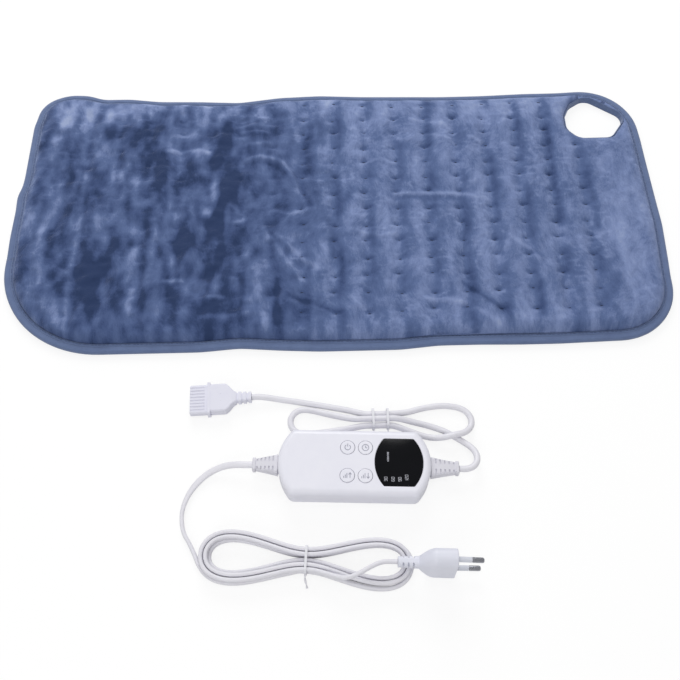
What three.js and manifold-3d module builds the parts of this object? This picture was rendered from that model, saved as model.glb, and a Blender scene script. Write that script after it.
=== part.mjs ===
// Electric heating pad with an in-line controller.
// A quilted pad lies flat. In front of it lie its controller, with four push buttons and a display window,
// the round lead with the pad's connector, and the flat mains cord with its two-pin plug. Both cords are
// folded into hanks that twist ties hold.
// Lengths are millimetres, +Z is up, and the origin is at the centre of the pad's underside.

import * as THREE from 'three';
import { mergeVertices } from 'three/addons/utils/BufferGeometryUtils.js';
import Module from 'manifold-3d';

const wasm = await Module();
wasm.setup();

// Gap between pieces that touch, and how far a cutting solid runs past the face that it opens.
const clearance = 0.3;
const overrun = 1;

// The pad's outline, with a corner radius for each corner as the tape was sewn round it.
const pad = {
  length: 600,
  depth: 292,
  frontLeftRadius: 96,
  frontRightRadius: 62,
  rearRightRadius: 52,
  rearLeftRadius: 38,
};

// Edge tape folded round the two covers' sewn flanges.
const tape = { width: 8.5, thickness: 1, foldWidth: 2.2, edgeRound: 1.5 };
const flangeThickness = 1.4;

// Quilting of the top cover: channels along Y, with a row of tufts in each seam between them.
// The heights of tuft, valley and crest are above the heater's pocket, the seam's above the tape.
const quilt = {
  channelPitch: 30,
  tuftPitch: 19.5,
  seamHeight: 0.9,
  tuftHeight: 2.2,
  valleyHeight: 3.2,
  crestHeight: 7.6,
  edgeRoll: 19,
  lastPitchShare: 0.4,
  inletReachShare: 0.6,
};

// Hand hole in the rear right corner. Each row: a corner's x and y, and its fillet, as shares of the hole.
const handHole = { width: 62, depth: 57, fromSide: 39.5, fromRear: 37.5, lining: 1, liningRise: 0.6 };
const handHoleShares = [
  [-0.33, -0.48, 0.225],
  [0.185, -0.474, 0.16],
  [0.508, 0.018, 0.195],
  [-0.089, 0.509, 0.195],
  [-0.363, 0.307, 0.195],
  [-0.492, 0.026, 0.225],
  [-0.5, -0.272, 0.225],
];

// Felt carrier with the heating wire laid on it in lanes, and the temperature sensor between two lanes.
const heater = { edgeMargin: 20, holeMargin: 12, feltThickness: 0.8 };
const wire = {
  diameter: 2.2,
  lanePitch: 30,
  firstFromSide: 75,
  lastFromSide: 45,
  laneFromEdge: 50,
  laneFromHole: 56.5,
  supplyFromMouth: 16,
  returnFromEdge: 26,
  cornerInset: 46,
};
const sensor = { diameter: 2.2, length: 7, lane: 7, fromWire: 3, y: -20 };

// Connector of the lead. Each length runs along its axis, from the cord to the nose.
const connector = {
  x: -74.5,
  y: -190,
  z: 5,
  turnDegrees: 182.4,
  reliefLength: 12.3,
  shoulderLength: 9.3,
  bodyLength: 11.7,
  flangeLength: 2.3,
  noseLength: 14.3,
  cordEnd: 7.6,
  neckWidth: 9.4,
  neckThickness: 8,
  bodyWidth: 24.5,
  bodyThickness: 9.6,
  flangeWidth: 28,
  flangeThickness: 10,
  noseWidth: 25.5,
  noseThickness: 6.4,
  cornerRadius: 1.6,
  grooveCount: 8,
  grooveWidth: 1.2,
  grooveDepth: 0.5,
  grooveLength: 12,
  contactCount: 4,
  contactPitch: 5.4,
  contactWidth: 3.2,
  contactHeight: 2.2,
  contactDepth: 10,
  contactWall: 0.4,
  ringCount: 3,
  ringDepth: 0.7,
  ringShare: 0.6,
};

// Inlet on the pad's underside, which takes the connector's nose.
const inlet = {
  fromSide: 23,
  y: 25,
  wall: 1.2,
  backWall: 4,
  socketDepth: 20,
  groundGap: 0.4,
  coverThickness: 2,
  recessLength: 7.5,
  plateThickness: 3,
  bladeLength: 8,
  bladeWidth: 2,
  bladeThickness: 0.8,
};

// Controller casing: a long box with bowed ends, split into two shells.
const casing = {
  x: 7.2,
  y: -253.4,
  turnDegrees: -2.6,
  length: 118,
  depth: 53,
  height: 21,
  bow: 38,
  corner: 6,
  wall: 2,
  floor: 1.8,
  roof: 2.4,
  split: 9,
  crownHeight: 4.5,
  crownInset: 5,
  footHeight: 2.2,
  footInset: 1.6,
  lipHeight: 2,
  lipThickness: 1,
  lipRoot: 2.5,
};

const display = {
  fromEnd: 25,
  length: 37,
  depth: 38,
  bow: 29,
  corner: 1.4,
  thickness: 1.3,
  ledge: 3,
  moduleLength: 24,
  moduleDepth: 26,
  baseThickness: 1.6,
  baseMargin: 2,
};

const button = {
  radius: 5.5,
  rise: 0.4,
  edgeRound: 0.5,
  dishRadius: 3.6,
  dishDepth: 0.2,
  flangeWidth: 1.2,
  flangeThickness: 1.4,
  stemRadius: 1.6,
  travel: 0.6,
};
const buttonPlaces = {
  fromDisplay: 32.5,
  columnPitch: 13.7,
  rowPitch: 22.6,
};
const tactSwitch = {
  size: 6,
  height: 3.5,
  boreRadius: 1.8,
  boreDepth: 2.1,
  plungerRadius: 1.5,
  plungerLength: 2.7,
  plungerRise: 1.5,
};

const board = {
  endMargin: 13,
  sideMargin: 5.5,
  thickness: 1.6,
  z: 6,
  restRadius: 2,
  restFromEnd: 16,
  restFromEdge: 3,
  postGap: 0.4,
};

// Screws at the casing's corners: a boss on the floor, a post under the roof, and a recess for the head.
const screw = {
  fromEnd: 17,
  fromSide: 6.9,
  headRadius: 2.4,
  headHeight: 1.6,
  shaftRadius: 1.2,
  grip: 5.3,
  recessDepth: 2.4,
  bossRadius: 3.4,
  bossGap: 0.2,
  postRadius: 3,
  pilotSpare: 1,
};

// Parts on the board's power end, between its mains end and the buttons. Their places along it, and the
// lengths of the capacitor and triac, are shares of that stretch.
const capacitor = { placeShare: 0.41, lengthShare: 0.38, y: 9, depth: 7, height: 10, edge: 1.2 };
const triac = {
  placeShare: 0.71,
  lengthShare: 0.3,
  tabShare: 0.15,
  y: -8,
  depth: 9,
  height: 4.5,
  tabThickness: 1.2,
  tabWidth: 8,
};
const fuse = { placeShare: 0.2, y: -5, length: 20, capLength: 5, capRadius: 2.6, tubeRadius: 2.3 };

// Ribbed strain relief at each end of the casing.
const relief = {
  mainsLength: 20,
  leadLength: 22,
  baseWidth: 15.5,
  baseHeight: 10.5,
  tipWidth: 9.2,
  tipHeight: 6.6,
  collarLength: 2.4,
  collarRise: 0.7,
  neckWidth: 12.4,
  neckHeight: 8.4,
  flangeWidth: 16,
  flangeHeight: 11,
  flangeThickness: 2,
  corner: 2,
  slotRows: 5,
  slotWidth: 1.1,
  slotMargin: 2.2,
  coreWidth: 4.2,
  rim: 0.9,
};

// Flat mains cord, and the hank that it is folded into. Its loops stand on edge.
const mainsCord = { width: 5.2, thickness: 3.2 };
const mainsHank = {
  x: -30.6,
  y: -323,
  turnDegrees: -4.2,
  halfLength: 79,
  waist: 8.33,
  lobe: 36,
  loops: 4,
  strandGap: 0.5,
  tieLift: 1.4,
  tieReach: 25,
};
const waistRoundingShare = 0.25;
const climbShare = 0.5;

// Where along its run the flat mains cord turns from lying flat to standing on edge.
const twistShares = [0.15, 0.45];

// Round lead between the controller and the connector.
const leadCord = { diameter: 5 };

// Twist ties: a band round the strands and its twisted end. Each lead tie is at a point of the hank's route.
const tie = { bandWidth: 3, thickness: 0.8, corner: 2, endWidth: 2.4 };
const leadTie = { offset: -5, z: 5.1, innerWidth: 15.6, innerHeight: 8 };
const leadTiePlaces = [
  { point: 0, endLength: 5.5 },
  { point: 2, endLength: 6 },
];
const mainsTie = { offset: -0.92, z: 6.85, innerWidth: 18.7, innerHeight: 11.5, endLength: 9 };

// Two-pin plug lying on its long edge. Its origin is where the cord enters its relief.
const plug = {
  x: 36,
  y: -329.4,
  z: 17.75,
  turnDegrees: -3.3,
  leanDegrees: -5,
  reliefLength: 13,
  neckLength: 2,
  flareLength: 12.5,
  bodyLength: 14.5,
  bodyWidth: 35.3,
  bodyThickness: 13.7,
  bodyCorner: 6.4,
  faceRound: 0.8,
  neckWidth: 9,
  neckThickness: 8,
  neckCorner: 3,
  reliefWidth: 8.5,
  reliefThickness: 7,
  slotRows: 3,
  slotWidth: 1.1,
  slotMargin: 2,
  coreThickness: 3.6,
};
const pin = {
  length: 19,
  radius: 2,
  coreRadius: 1.3,
  sleeveLength: 10,
  spacing: 19,
  tipSpacing: 17.5,
  rootLength: 4,
  tipRound: 1.4,
};

// Counts of facets, which set how smooth each round is.
const facets = {
  padCorner: 7,
  holeCorner: 3,
  casingCorner: 3,
  bow: 7,
  crown: 2,
  sectionCorner: 2,
  wireBend: 4,
  plugFlare: 3,
};
const sides = { button: 20, bore: 12, small: 10, screw: 8, wire: 5, flatCord: 8, hank: 6, roundCord: 8 };
const steps = {
  mainsRun: 24,
  mainsLoop: 24,
  mainsTail: 12,
  leadRun: 14,
  leadHank: 56,
  leadTail: 18,
  tieEnd: 6,
};

// Routes of the cords where they lie free, as chosen points on their centre lines.
const mainsRunRoute = [
  [-72, -249.8, 9.15],
  [-77.2, -249.6, 9.15],
  [-84, -249.1, 8.6],
  [-93.8, -249.2, 6],
  [-104, -252.4, 3.7],
  [-113, -259, 2.5],
  [-121.2, -270.5, 2.5],
  [-125.2, -284.7, 2.7],
  [-123.2, -299, 2.7],
  [-117.6, -309.3, 2.6],
  [-113.2, -318, 2.6],
  [-109.9, -325, 2.6],
  [-105.3, -331.1, 2.6],
  [-98.6, -335.5, 2.6],
  [-89.5, -337.9, 2.6],
  [-78.2, -338.1, 2.7],
  [-65.2, -336.3, 2.9],
  [-51, -333.6, 3.4],
  [-41.5, -331.9, 3.8],
  [-36.6, -331.05, 4],
  [-31.5, -331.28, 4],
];
const mainsTailRoute = [
  [0.3, -8.33, 9.7],
  [5.5, -8.45, 9.7],
  [14, -10.4, 11.2],
  [23, -12.9, 13],
  [29, -13.9, 14.4],
  [34, -12.9, 15.3],
  [40, -10.1, 16.1],
  [46, -6.6, 16.8],
  [52, -3.5, 17.4],
  [57, -1.9, 17.7],
  [61.4, -1.6, 17.75],
  [66.55, -1.51, 17.75],
];
const leadRunRoute = [
  [-74.2, -189.99, 5],
  [-69.2, -189.78, 5],
  [-62, -190.3, 4.3],
  [-51.4, -191.8, 3],
  [-39, -193.8, 2.5],
  [-26.4, -196.2, 2.5],
  [-11, -199.3, 2.5],
  [4.7, -203, 2.8],
  [13, -205.6, 3.5],
  [18.7, -207.1, 3.9],
  [23.7, -207.1, 3.9],
];
const leadHankRoute = [
  [24, -207.1, 3.9],
  [29, -207.1, 3.9],
  [35.6, -207.1, 3.9],
  [50.5, -205.8, 2.6],
  [66.4, -202.1, 2.5],
  [80.4, -200.6, 2.5],
  [88, -201.3, 2.5],
  [94.4, -202.9, 2.5],
  [99.8, -206.2, 2.5],
  [102.9, -211.4, 2.6],
  [103, -217.5, 3],
  [100, -222.7, 4.3],
  [95, -226.2, 6.3],
  [88.2, -228.2, 8],
  [80.3, -229.4, 6.4],
  [72.5, -229.1, 4.2],
  [64.4, -227, 2.9],
  [49.5, -220.9, 2.9],
  [43.5, -218.6, 3.4],
  [38.6, -217.4, 3.8],
  [34, -217.1, 3.9],
  [24, -217.1, 3.9],
  [17, -217.1, 3.9],
  [4, -218.8, 2.8],
  [-14, -221.1, 2.5],
  [-24, -222.1, 2.5],
  [-32.4, -222.1, 2.5],
  [-37.6, -220.7, 2.5],
  [-41.4, -216.9, 2.5],
  [-42.8, -211.7, 2.5],
  [-41.4, -206.5, 2.5],
  [-37.6, -202.7, 2.5],
  [-32.4, -201.3, 2.5],
  [-25.5, -202.1, 2.5],
  [-17.5, -204.3, 2.7],
  [-7.9, -207.2, 3.2],
  [7, -211.2, 5],
  [17, -212.1, 6.3],
  [24, -212.1, 6.3],
  [30.6, -212.1, 6.3],
  [35.6, -212.1, 6.3],
];
const leadTailRoute = [
  [35.9, -212.1, 6.3],
  [40.9, -212.1, 6.3],
  [46.5, -212.6, 5.3],
  [55.3, -214.4, 3.4],
  [70.3, -218.6, 2.5],
  [81.5, -223.3, 2.5],
  [89.5, -228.6, 2.5],
  [95.7, -233.1, 2.8],
  [100.4, -237.5, 3.9],
  [103.3, -242.6, 5.4],
  [103.9, -247.5, 6.8],
  [102.5, -252.2, 8],
  [98.8, -255.95, 8.9],
  [93.5, -257.37, 9.15],
  [88.5, -257.15, 9.15],
];

const finishes = {
  plush: { color: '#5a6c92', roughness: 0.95, metalness: 0 },
  backing: { color: '#4f6084', roughness: 0.9, metalness: 0 },
  tape: { color: '#596a8d', roughness: 0.8, metalness: 0 },
  felt: { color: '#d9d6cc', roughness: 1, metalness: 0 },
  wire: { color: '#c9b08a', roughness: 0.5, metalness: 0 },
  whitePlastic: { color: '#e6e6f0', roughness: 0.35, metalness: 0 },
  cordPlastic: { color: '#d2d1d8', roughness: 0.45, metalness: 0 },
  plugPlastic: { color: '#d0d2e0', roughness: 0.45, metalness: 0 },
  darkPlastic: { color: '#2a2b2e', roughness: 0.6, metalness: 0 },
  displayGlass: { color: '#0f1015', roughness: 0.1, metalness: 0 },
  laminate: { color: '#2f6b3f', roughness: 0.5, metalness: 0 },
  steel: { color: '#b9bbbf', roughness: 0.3, metalness: 1 },
  brass: { color: '#c9a867', roughness: 0.35, metalness: 1 },
};

// Heights in the pad, from its underside up.
const tapeHeight = 2 * tape.thickness + 2 * flangeThickness + 3 * clearance;
const bottomFlange = tape.thickness + clearance;
const bottomTop = bottomFlange + flangeThickness;
const topFlange = bottomTop + clearance;
const feltTop = topFlange + heater.feltThickness;
const wireHeight = feltTop + clearance + wire.diameter / 2;
const pocketTop = wireHeight + wire.diameter / 2 + clearance;
const seamLevel = tapeHeight + quilt.seamHeight;

const radians = THREE.MathUtils.degToRad;
const quarterTurn = Math.PI / 2;
const upward = new THREE.Vector3(0, 0, 1);
const cornerSigns = [[-1, -1], [1, -1], [1, 1], [-1, 1]];

// Outlines

function arc(x, y, radius, from, to, count) {
  return Array.from({ length: count + 1 }, (_, step) => {
    const angle = from + ((to - from) * step) / count;
    return new THREE.Vector2(x + radius * Math.cos(angle), y + radius * Math.sin(angle));
  });
}

// A convex outline with rounded corners. Growing it leaves the arcs' centres where they are.
function roundedOutline(corners, radii, count, growth = 0) {
  return corners.flatMap((corner, index) => {
    const before = corners.at(index - 1).clone().sub(corner).normalize();
    const after = corners[(index + 1) % corners.length].clone().sub(corner).normalize();
    const half = before.angleTo(after) / 2;
    const inward = before.clone().add(after).normalize();
    const centre = corner.clone().addScaledVector(inward, radii[index] / Math.sin(half));
    const start = Math.atan2(before.x, -before.y);
    return arc(centre.x, centre.y, radii[index] + growth, start, start + Math.PI - 2 * half, count);
  });
}

function rectangleCorners(width, depth) {
  return cornerSigns.map(([x, y]) => new THREE.Vector2((x * width) / 2, (y * depth) / 2));
}

function roundedRectangle(width, depth, radius, count = facets.sectionCorner) {
  return roundedOutline(rectangleCorners(width, depth), Array(4).fill(radius), count);
}

function padOutline(inset) {
  const radii = [pad.frontLeftRadius, pad.frontRightRadius, pad.rearRightRadius, pad.rearLeftRadius];
  return roundedOutline(rectangleCorners(pad.length, pad.depth), radii, facets.padCorner, -inset);
}

function handHoleOutline(growth) {
  const x = pad.length / 2 - handHole.fromSide;
  const y = pad.depth / 2 - handHole.fromRear;
  const { width, depth } = handHole;
  const corners = handHoleShares.map(([u, v]) => new THREE.Vector2(x + u * width, y + v * depth));
  const fillets = handHoleShares.map((share) => share[2] * width);
  return roundedOutline(corners, fillets, facets.holeCorner, growth);
}

// A box with bowed ends: two straight long sides, an arc at each end and a fillet between them.
function barrelOutline({ length, depth, bow, corner }, inset = 0) {
  const bowX = length / 2 - bow;
  const filletY = depth / 2 - corner;
  const filletX = bowX + Math.sqrt((bow - corner) ** 2 - filletY ** 2);
  const meeting = Math.atan2(filletY, filletX - bowX);
  const end = [
    ...arc(filletX, -filletY, corner - inset, -quarterTurn, -meeting, facets.casingCorner),
    ...arc(bowX, 0, bow - inset, -meeting, meeting, facets.bow).slice(1, -1),
    ...arc(filletX, filletY, corner - inset, meeting, quarterTurn, facets.casingCorner),
  ];
  return [...end, ...end.map((point) => point.clone().negate())];
}

// How far a point lies outside a convex outline, or as a negative length how deep inside.
function reachPast(outline, x, y) {
  return outline.reduce((furthest, start, index) => {
    const edge = outline[(index + 1) % outline.length].clone().sub(start).normalize();
    return Math.max(furthest, (x - start.x) * edge.y - (y - start.y) * edge.x);
  }, -Infinity);
}

// Solids

function indexed(points, triangles) {
  const geometry = new THREE.BufferGeometry().setFromPoints(points);
  geometry.setIndex(triangles);
  return geometry;
}

function prism(outline, bottom, top) {
  const settings = { depth: top - bottom, bevelEnabled: false, steps: 1 };
  return new THREE.ExtrudeGeometry(new THREE.Shape(outline), settings).translate(0, 0, bottom);
}

function box([x0, x1], [y0, y1], [z0, z1]) {
  const centre = [(x0 + x1) / 2, (y0 + y1) / 2, (z0 + z1) / 2];
  return new THREE.BoxGeometry(x1 - x0, y1 - y0, z1 - z0).translate(...centre);
}

function cylinder(radius, bottom, top, x = 0, y = 0, count = sides.small) {
  const geometry = new THREE.CylinderGeometry(radius, radius, top - bottom, count);
  return geometry.rotateX(quarterTurn).translate(x, y, (bottom + top) / 2);
}

// A profile of [radius, height] rows turned about the Z axis, closed on the axis or on itself.
function turned(profile, count) {
  const points = profile.map(([radius, height]) => new THREE.Vector2(radius, height));
  return new THREE.LatheGeometry(points, count).rotateX(quarterTurn);
}

// Side walls between rings of equal counts of points.
function wallTriangles(ringCount, count, closed) {
  const triangles = [];
  for (let ring = 0; ring < (closed ? ringCount : ringCount - 1); ring += 1) {
    const next = (ring + 1) % ringCount;
    for (let i = 0; i < count; i += 1) {
      const j = (i + 1) % count;
      triangles.push(ring * count + i, ring * count + j, next * count + j);
      triangles.push(ring * count + i, next * count + j, next * count + i);
    }
  }
  return triangles;
}

// A solid through convex rings, each anticlockwise as seen from the last ring's side.
function loft(rings) {
  const count = rings[0].length;
  const last = (rings.length - 1) * count;
  const triangles = wallTriangles(rings.length, count, false);
  for (let i = 1; i < count - 1; i += 1) {
    triangles.push(0, i + 1, i, last, last + i, last + i + 1);
  }
  return indexed(rings.flat(), triangles);
}

// A band that closes on itself both ways.
function loopLoft(rings) {
  return indexed(rings.flat(), wallTriangles(rings.length, rings[0].length, true));
}

const levelRing = (outline, z) => outline.map((point) => new THREE.Vector3(point.x, point.y, z));
const uprightRing = (outline, x) => outline.map((point) => new THREE.Vector3(x, point.x, point.y));

// A tube of a flat or round section along points, turned about its own line by turnAt(share of the length).
function sweep(points, { width, thickness, count }, turnAt = () => 0) {
  const angles = Array.from({ length: count }, (_, index) => ((index + 0.5) * 2 * Math.PI) / count);
  const widest = Math.max(...angles.map(Math.sin));
  const thickest = Math.max(...angles.map(Math.cos));
  const rings = points.map((point, index) => {
    const ahead = points[Math.min(index + 1, points.length - 1)];
    const behind = points[Math.max(index - 1, 0)];
    const along = ahead.clone().sub(behind).normalize();
    const side = along.clone().cross(upward).normalize();
    const lift = side.clone().cross(along);
    const turn = turnAt(index / (points.length - 1));
    const thin = lift.clone().multiplyScalar(Math.cos(turn)).addScaledVector(side, Math.sin(turn));
    const wide = side.clone().multiplyScalar(Math.cos(turn)).addScaledVector(lift, -Math.sin(turn));
    return angles.map((angle) => point.clone()
      .addScaledVector(thin, (thickness / 2) * (Math.cos(angle) / thickest))
      .addScaledVector(wide, (width / 2) * (Math.sin(angle) / widest)));
  });
  return loft(rings);
}

function smoothPath(route) {
  const points = route.map((point) => new THREE.Vector3(...point));
  return new THREE.CatmullRomCurve3(points, false, 'centripetal');
}

// A plain round cord along a route.
function roundTube(route, diameter, stepCount) {
  const turnedCorner = (_, index) => ((index + 0.5) * 2 * Math.PI) / sides.roundCord;
  const section = new THREE.Shape(Array.from({ length: sides.roundCord }, turnedCorner)
    .map((angle) => new THREE.Vector2(Math.cos(angle), Math.sin(angle)).multiplyScalar(diameter / 2)));
  return new THREE.ExtrudeGeometry(section, { steps: stepCount, extrudePath: smoothPath(route) });
}

// Joins and cuts

function toSolid(geometry) {
  const bare = geometry.clone();
  const extra = Object.keys(bare.attributes).filter((name) => name !== 'position');
  extra.forEach((name) => bare.deleteAttribute(name));
  const merged = mergeVertices(bare);
  const corners = Array.from(merged.index.array);
  const kept = [];
  for (let i = 0; i < corners.length; i += 3) {
    const [a, b, c] = corners.slice(i, i + 3);
    if (a !== b && b !== c && c !== a) kept.push(a, b, c);
  }
  const triVerts = new Uint32Array(kept);
  const vertProperties = new Float32Array(merged.attributes.position.array);
  return new wasm.Manifold(new wasm.Mesh({ numProp: 3, vertProperties, triVerts }));
}

function toGeometry(solid) {
  const { vertProperties, triVerts } = solid.getMesh();
  const geometry = new THREE.BufferGeometry();
  geometry.setAttribute('position', new THREE.BufferAttribute(vertProperties, 3));
  geometry.setIndex(new THREE.BufferAttribute(triVerts, 1));
  return geometry;
}

const join = (...parts) => toGeometry(parts.map(toSolid).reduce((whole, part) => whole.add(part)));
const cut = (body, ...tools) => toGeometry(
  tools.map(toSolid).reduce((rest, tool) => rest.subtract(tool), toSolid(body)),
);
const common = (first, second) => toGeometry(toSolid(first).intersect(toSolid(second)));

function piece(parent, name, geometry, finish) {
  const mesh = new THREE.Mesh(geometry, new THREE.MeshStandardMaterial(finish));
  mesh.name = name;
  parent.add(mesh);
}

// The pad

const seamInset = tape.width + clearance;
const flangeInset = tape.foldWidth + clearance;
const coverHoleGrowth = handHole.lining + clearance;

const socket = {
  width: connector.noseWidth + 2 * clearance,
  height: connector.noseThickness + 2 * clearance,
};
const inletMouth = -pad.length / 2 + inlet.fromSide;
const inletBox = {
  x: [inletMouth, inletMouth + inlet.socketDepth + inlet.backWall],
  y: [inlet.y - socket.width / 2 - inlet.wall, inlet.y + socket.width / 2 + inlet.wall],
  z: [inlet.groundGap, inlet.groundGap + socket.height + 2 * inlet.wall],
};
const socketBottom = inletBox.z[0] + inlet.wall;
const socketTop = socketBottom + socket.height;

const grown = ([low, high], growth) => [low - growth, high + growth];
const centred = (size) => [-size / 2, size / 2];

function inletHollow(bottom, top) {
  return box(grown(inletBox.x, clearance), grown(inletBox.y, clearance), [bottom, top]);
}

function connectorRecess(bottom, top) {
  return box([inletMouth - inlet.recessLength, inletMouth], grown(inletBox.y, clearance), [bottom, top]);
}

function handHoleCut(growth) {
  return prism(handHoleOutline(growth), -overrun, seamLevel + quilt.crestHeight * 2);
}

function edgeBinding() {
  const { width, thickness, foldWidth, edgeRound } = tape;
  const section = [
    [width, 0],
    [edgeRound, 0],
    [0, tapeHeight / 3],
    [0, (tapeHeight * 2) / 3],
    [edgeRound, tapeHeight],
    [width, tapeHeight],
    [width, tapeHeight - thickness],
    [foldWidth, tapeHeight - thickness],
    [foldWidth, thickness],
    [width, thickness],
  ];
  return loopLoft(section.map(([inset, z]) => levelRing(padOutline(inset), z)));
}

function bottomCover() {
  const body = join(
    prism(padOutline(seamInset), 0, bottomTop),
    prism(padOutline(flangeInset), bottomFlange, bottomTop),
  );
  const top = bottomTop + overrun;
  const window = join(inletHollow(-overrun, top), connectorRecess(-overrun, top));
  return cut(body, window, handHoleCut(coverHoleGrowth));
}

// Places of the seams or tufts along one side: the two edges and every whole pitch that fits between them.
function quiltLines(half, pitch) {
  const count = Math.floor(half / pitch - quilt.lastPitchShare);
  const inner = Array.from({ length: 2 * count + 1 }, (_, index) => (index - count) * pitch);
  return [-half, ...inner, half];
}

const midways = (lines) => lines.slice(1).map((line, index) => (line + lines[index]) / 2);

// The quilted block: crests midway between the seams, and each seam pinched at its tufts.
function quiltedBlock() {
  const outline = padOutline(seamInset);
  const hole = handHoleOutline(coverHoleGrowth);
  const seams = quiltLines(pad.length / 2 - seamInset + overrun, quilt.channelPitch);
  const tufts = quiltLines(pad.depth / 2 - seamInset + overrun, quilt.tuftPitch);
  const crests = midways(seams);
  const valleys = midways(tufts);
  const inletReach = quilt.tuftPitch * quilt.inletReachShare;
  const inletX = grown(inletBox.x, inletReach);
  const inletY = grown(inletBox.y, inletReach);
  const inletCover = inletBox.z[1] + clearance + inlet.coverThickness;

  const surface = (x, y, rise) => {
    const overInlet = x > inletX[0] && x < inletX[1] && y > inletY[0] && y < inletY[1];
    if (overInlet) return Math.max(pocketTop + rise, inletCover);
    const depth = Math.min(-reachPast(outline, x, y), reachPast(hole, x, y));
    const roll = THREE.MathUtils.smoothstep(depth, 0, quilt.edgeRoll);
    return THREE.MathUtils.lerp(seamLevel, pocketTop + rise, roll);
  };
  const points = [];
  const grid = (xs, ys, rise) => xs.map((x) => ys.map((y) => {
    points.push(new THREE.Vector3(x, y, surface(x, y, rise)));
    return points.length - 1;
  }));
  const tuft = grid(seams, tufts, quilt.tuftHeight);
  const crest = grid(crests, tufts, quilt.crestHeight);
  const valley = grid(seams, valleys, quilt.valleyHeight);

  const triangles = [];
  crests.forEach((_, i) => valleys.forEach((__, j) => {
    triangles.push(tuft[i][j], crest[i][j], valley[i][j]);
    triangles.push(valley[i][j], crest[i][j], crest[i][j + 1]);
    triangles.push(valley[i][j], crest[i][j + 1], tuft[i][j + 1]);
    triangles.push(tuft[i + 1][j], valley[i + 1][j], crest[i][j]);
    triangles.push(valley[i + 1][j], crest[i][j + 1], crest[i][j]);
    triangles.push(valley[i + 1][j], tuft[i + 1][j + 1], crest[i][j + 1]);
  }));

  const lastRow = tufts.length - 1;
  const lastSeam = seams.length - 1;
  const rowEdge = (row) => seams.flatMap(
    (_, i) => (i < lastSeam ? [tuft[i][row], crest[i][row]] : [tuft[i][row]]),
  );
  const seamEdge = (seam) => tufts.flatMap(
    (_, j) => (j < lastRow ? [tuft[seam][j], valley[seam][j]] : [tuft[seam][j]]),
  );
  const rim = [
    ...rowEdge(0).slice(0, -1),
    ...seamEdge(lastSeam).slice(0, -1),
    ...rowEdge(lastRow).reverse().slice(0, -1),
    ...seamEdge(0).reverse().slice(0, -1),
  ];
  const base = points.length;
  rim.forEach((index) => points.push(points[index].clone().setZ(topFlange)));
  points.push(new THREE.Vector3(0, 0, topFlange));
  const centre = points.length - 1;
  rim.forEach((upper, index) => {
    const next = (index + 1) % rim.length;
    triangles.push(upper, base + index, base + next, upper, base + next, rim[next]);
    triangles.push(centre, base + next, base + index);
  });
  return indexed(points, triangles);
}

function carrierOutline(growth) {
  return padOutline(heater.edgeMargin - growth);
}

// The felt's shape, or with growth the pocket round it.
function heaterLayer(bottom, top, growth) {
  return cut(
    prism(carrierOutline(growth), bottom, top),
    prism(handHoleOutline(heater.holeMargin - growth), bottom - overrun, top + overrun),
  );
}

function topCover() {
  const outline = prism(padOutline(seamInset), topFlange, seamLevel + quilt.crestHeight * 2);
  const block = common(quiltedBlock(), outline);
  const flange = prism(padOutline(flangeInset), topFlange, topFlange + flangeThickness);
  return cut(
    join(block, flange),
    heaterLayer(topFlange - overrun, pocketTop, clearance),
    inletHollow(topFlange - overrun, inletBox.z[1] + clearance),
    connectorRecess(topFlange - overrun, socketTop + clearance),
    handHoleCut(coverHoleGrowth),
  );
}

function holeBinding() {
  const top = seamLevel + handHole.liningRise;
  const outer = handHoleOutline(handHole.lining);
  const inner = handHoleOutline(0);
  return loopLoft([
    levelRing(outer, 0),
    levelRing(outer, top),
    levelRing(inner, top),
    levelRing(inner, 0),
  ]);
}

function heaterCarrier() {
  const felt = heaterLayer(topFlange, feltTop, 0);
  return cut(felt, inletHollow(0, feltTop + overrun), connectorRecess(0, feltTop + overrun));
}

const firstLane = -pad.length / 2 + wire.firstFromSide;
const lane = (index) => firstLane + index * wire.lanePitch;

// The wire's lanes: out of the inlet, to and fro across the pad, and back along the front edge.
function wirePoints() {
  const { lanePitch } = wire;
  const span = pad.length - wire.firstFromSide - wire.lastFromSide;
  const laneCount = 2 * Math.floor(span / (2 * lanePitch)) + 1;
  const laneEnd = pad.depth / 2 - wire.laneFromEdge;
  const holeLaneEnd = pad.depth / 2 - handHole.fromRear - wire.laneFromHole;
  const supplyLane = inletMouth + wire.supplyFromMouth;
  const returnRow = -pad.depth / 2 + wire.returnFromEdge;
  const corner = pad.frontLeftRadius - wire.cornerInset;
  const bend = (x, y, radius, from, to) => arc(x, y, radius, from, to, facets.wireBend);
  const radius = lanePitch / 2;
  const lastLane = lane(laneCount - 1);
  const supplyRadius = (firstLane - supplyLane) / 2;
  const path = [
    new THREE.Vector2(supplyLane, inletBox.y[1] + clearance),
    ...bend(supplyLane + supplyRadius, laneEnd, supplyRadius, Math.PI, 0),
  ];
  for (let index = 1; index < laneCount; index += 1) {
    const atFront = index % 2 === 1;
    const rearEnd = index === laneCount - 1 ? holeLaneEnd : laneEnd;
    const y = atFront ? -laneEnd : rearEnd;
    path.push(...bend(lane(index) - radius, y, radius, Math.PI, atFront ? 2 * Math.PI : 0));
  }
  path.push(
    ...bend(lastLane - radius, returnRow + radius, radius, 0, -quarterTurn),
    ...bend(supplyLane + corner, returnRow + corner, corner, -quarterTurn, -Math.PI),
    new THREE.Vector2(supplyLane, inletBox.y[0] - clearance),
  );
  return path.map((point) => new THREE.Vector3(point.x, point.y, wireHeight));
}

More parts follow.
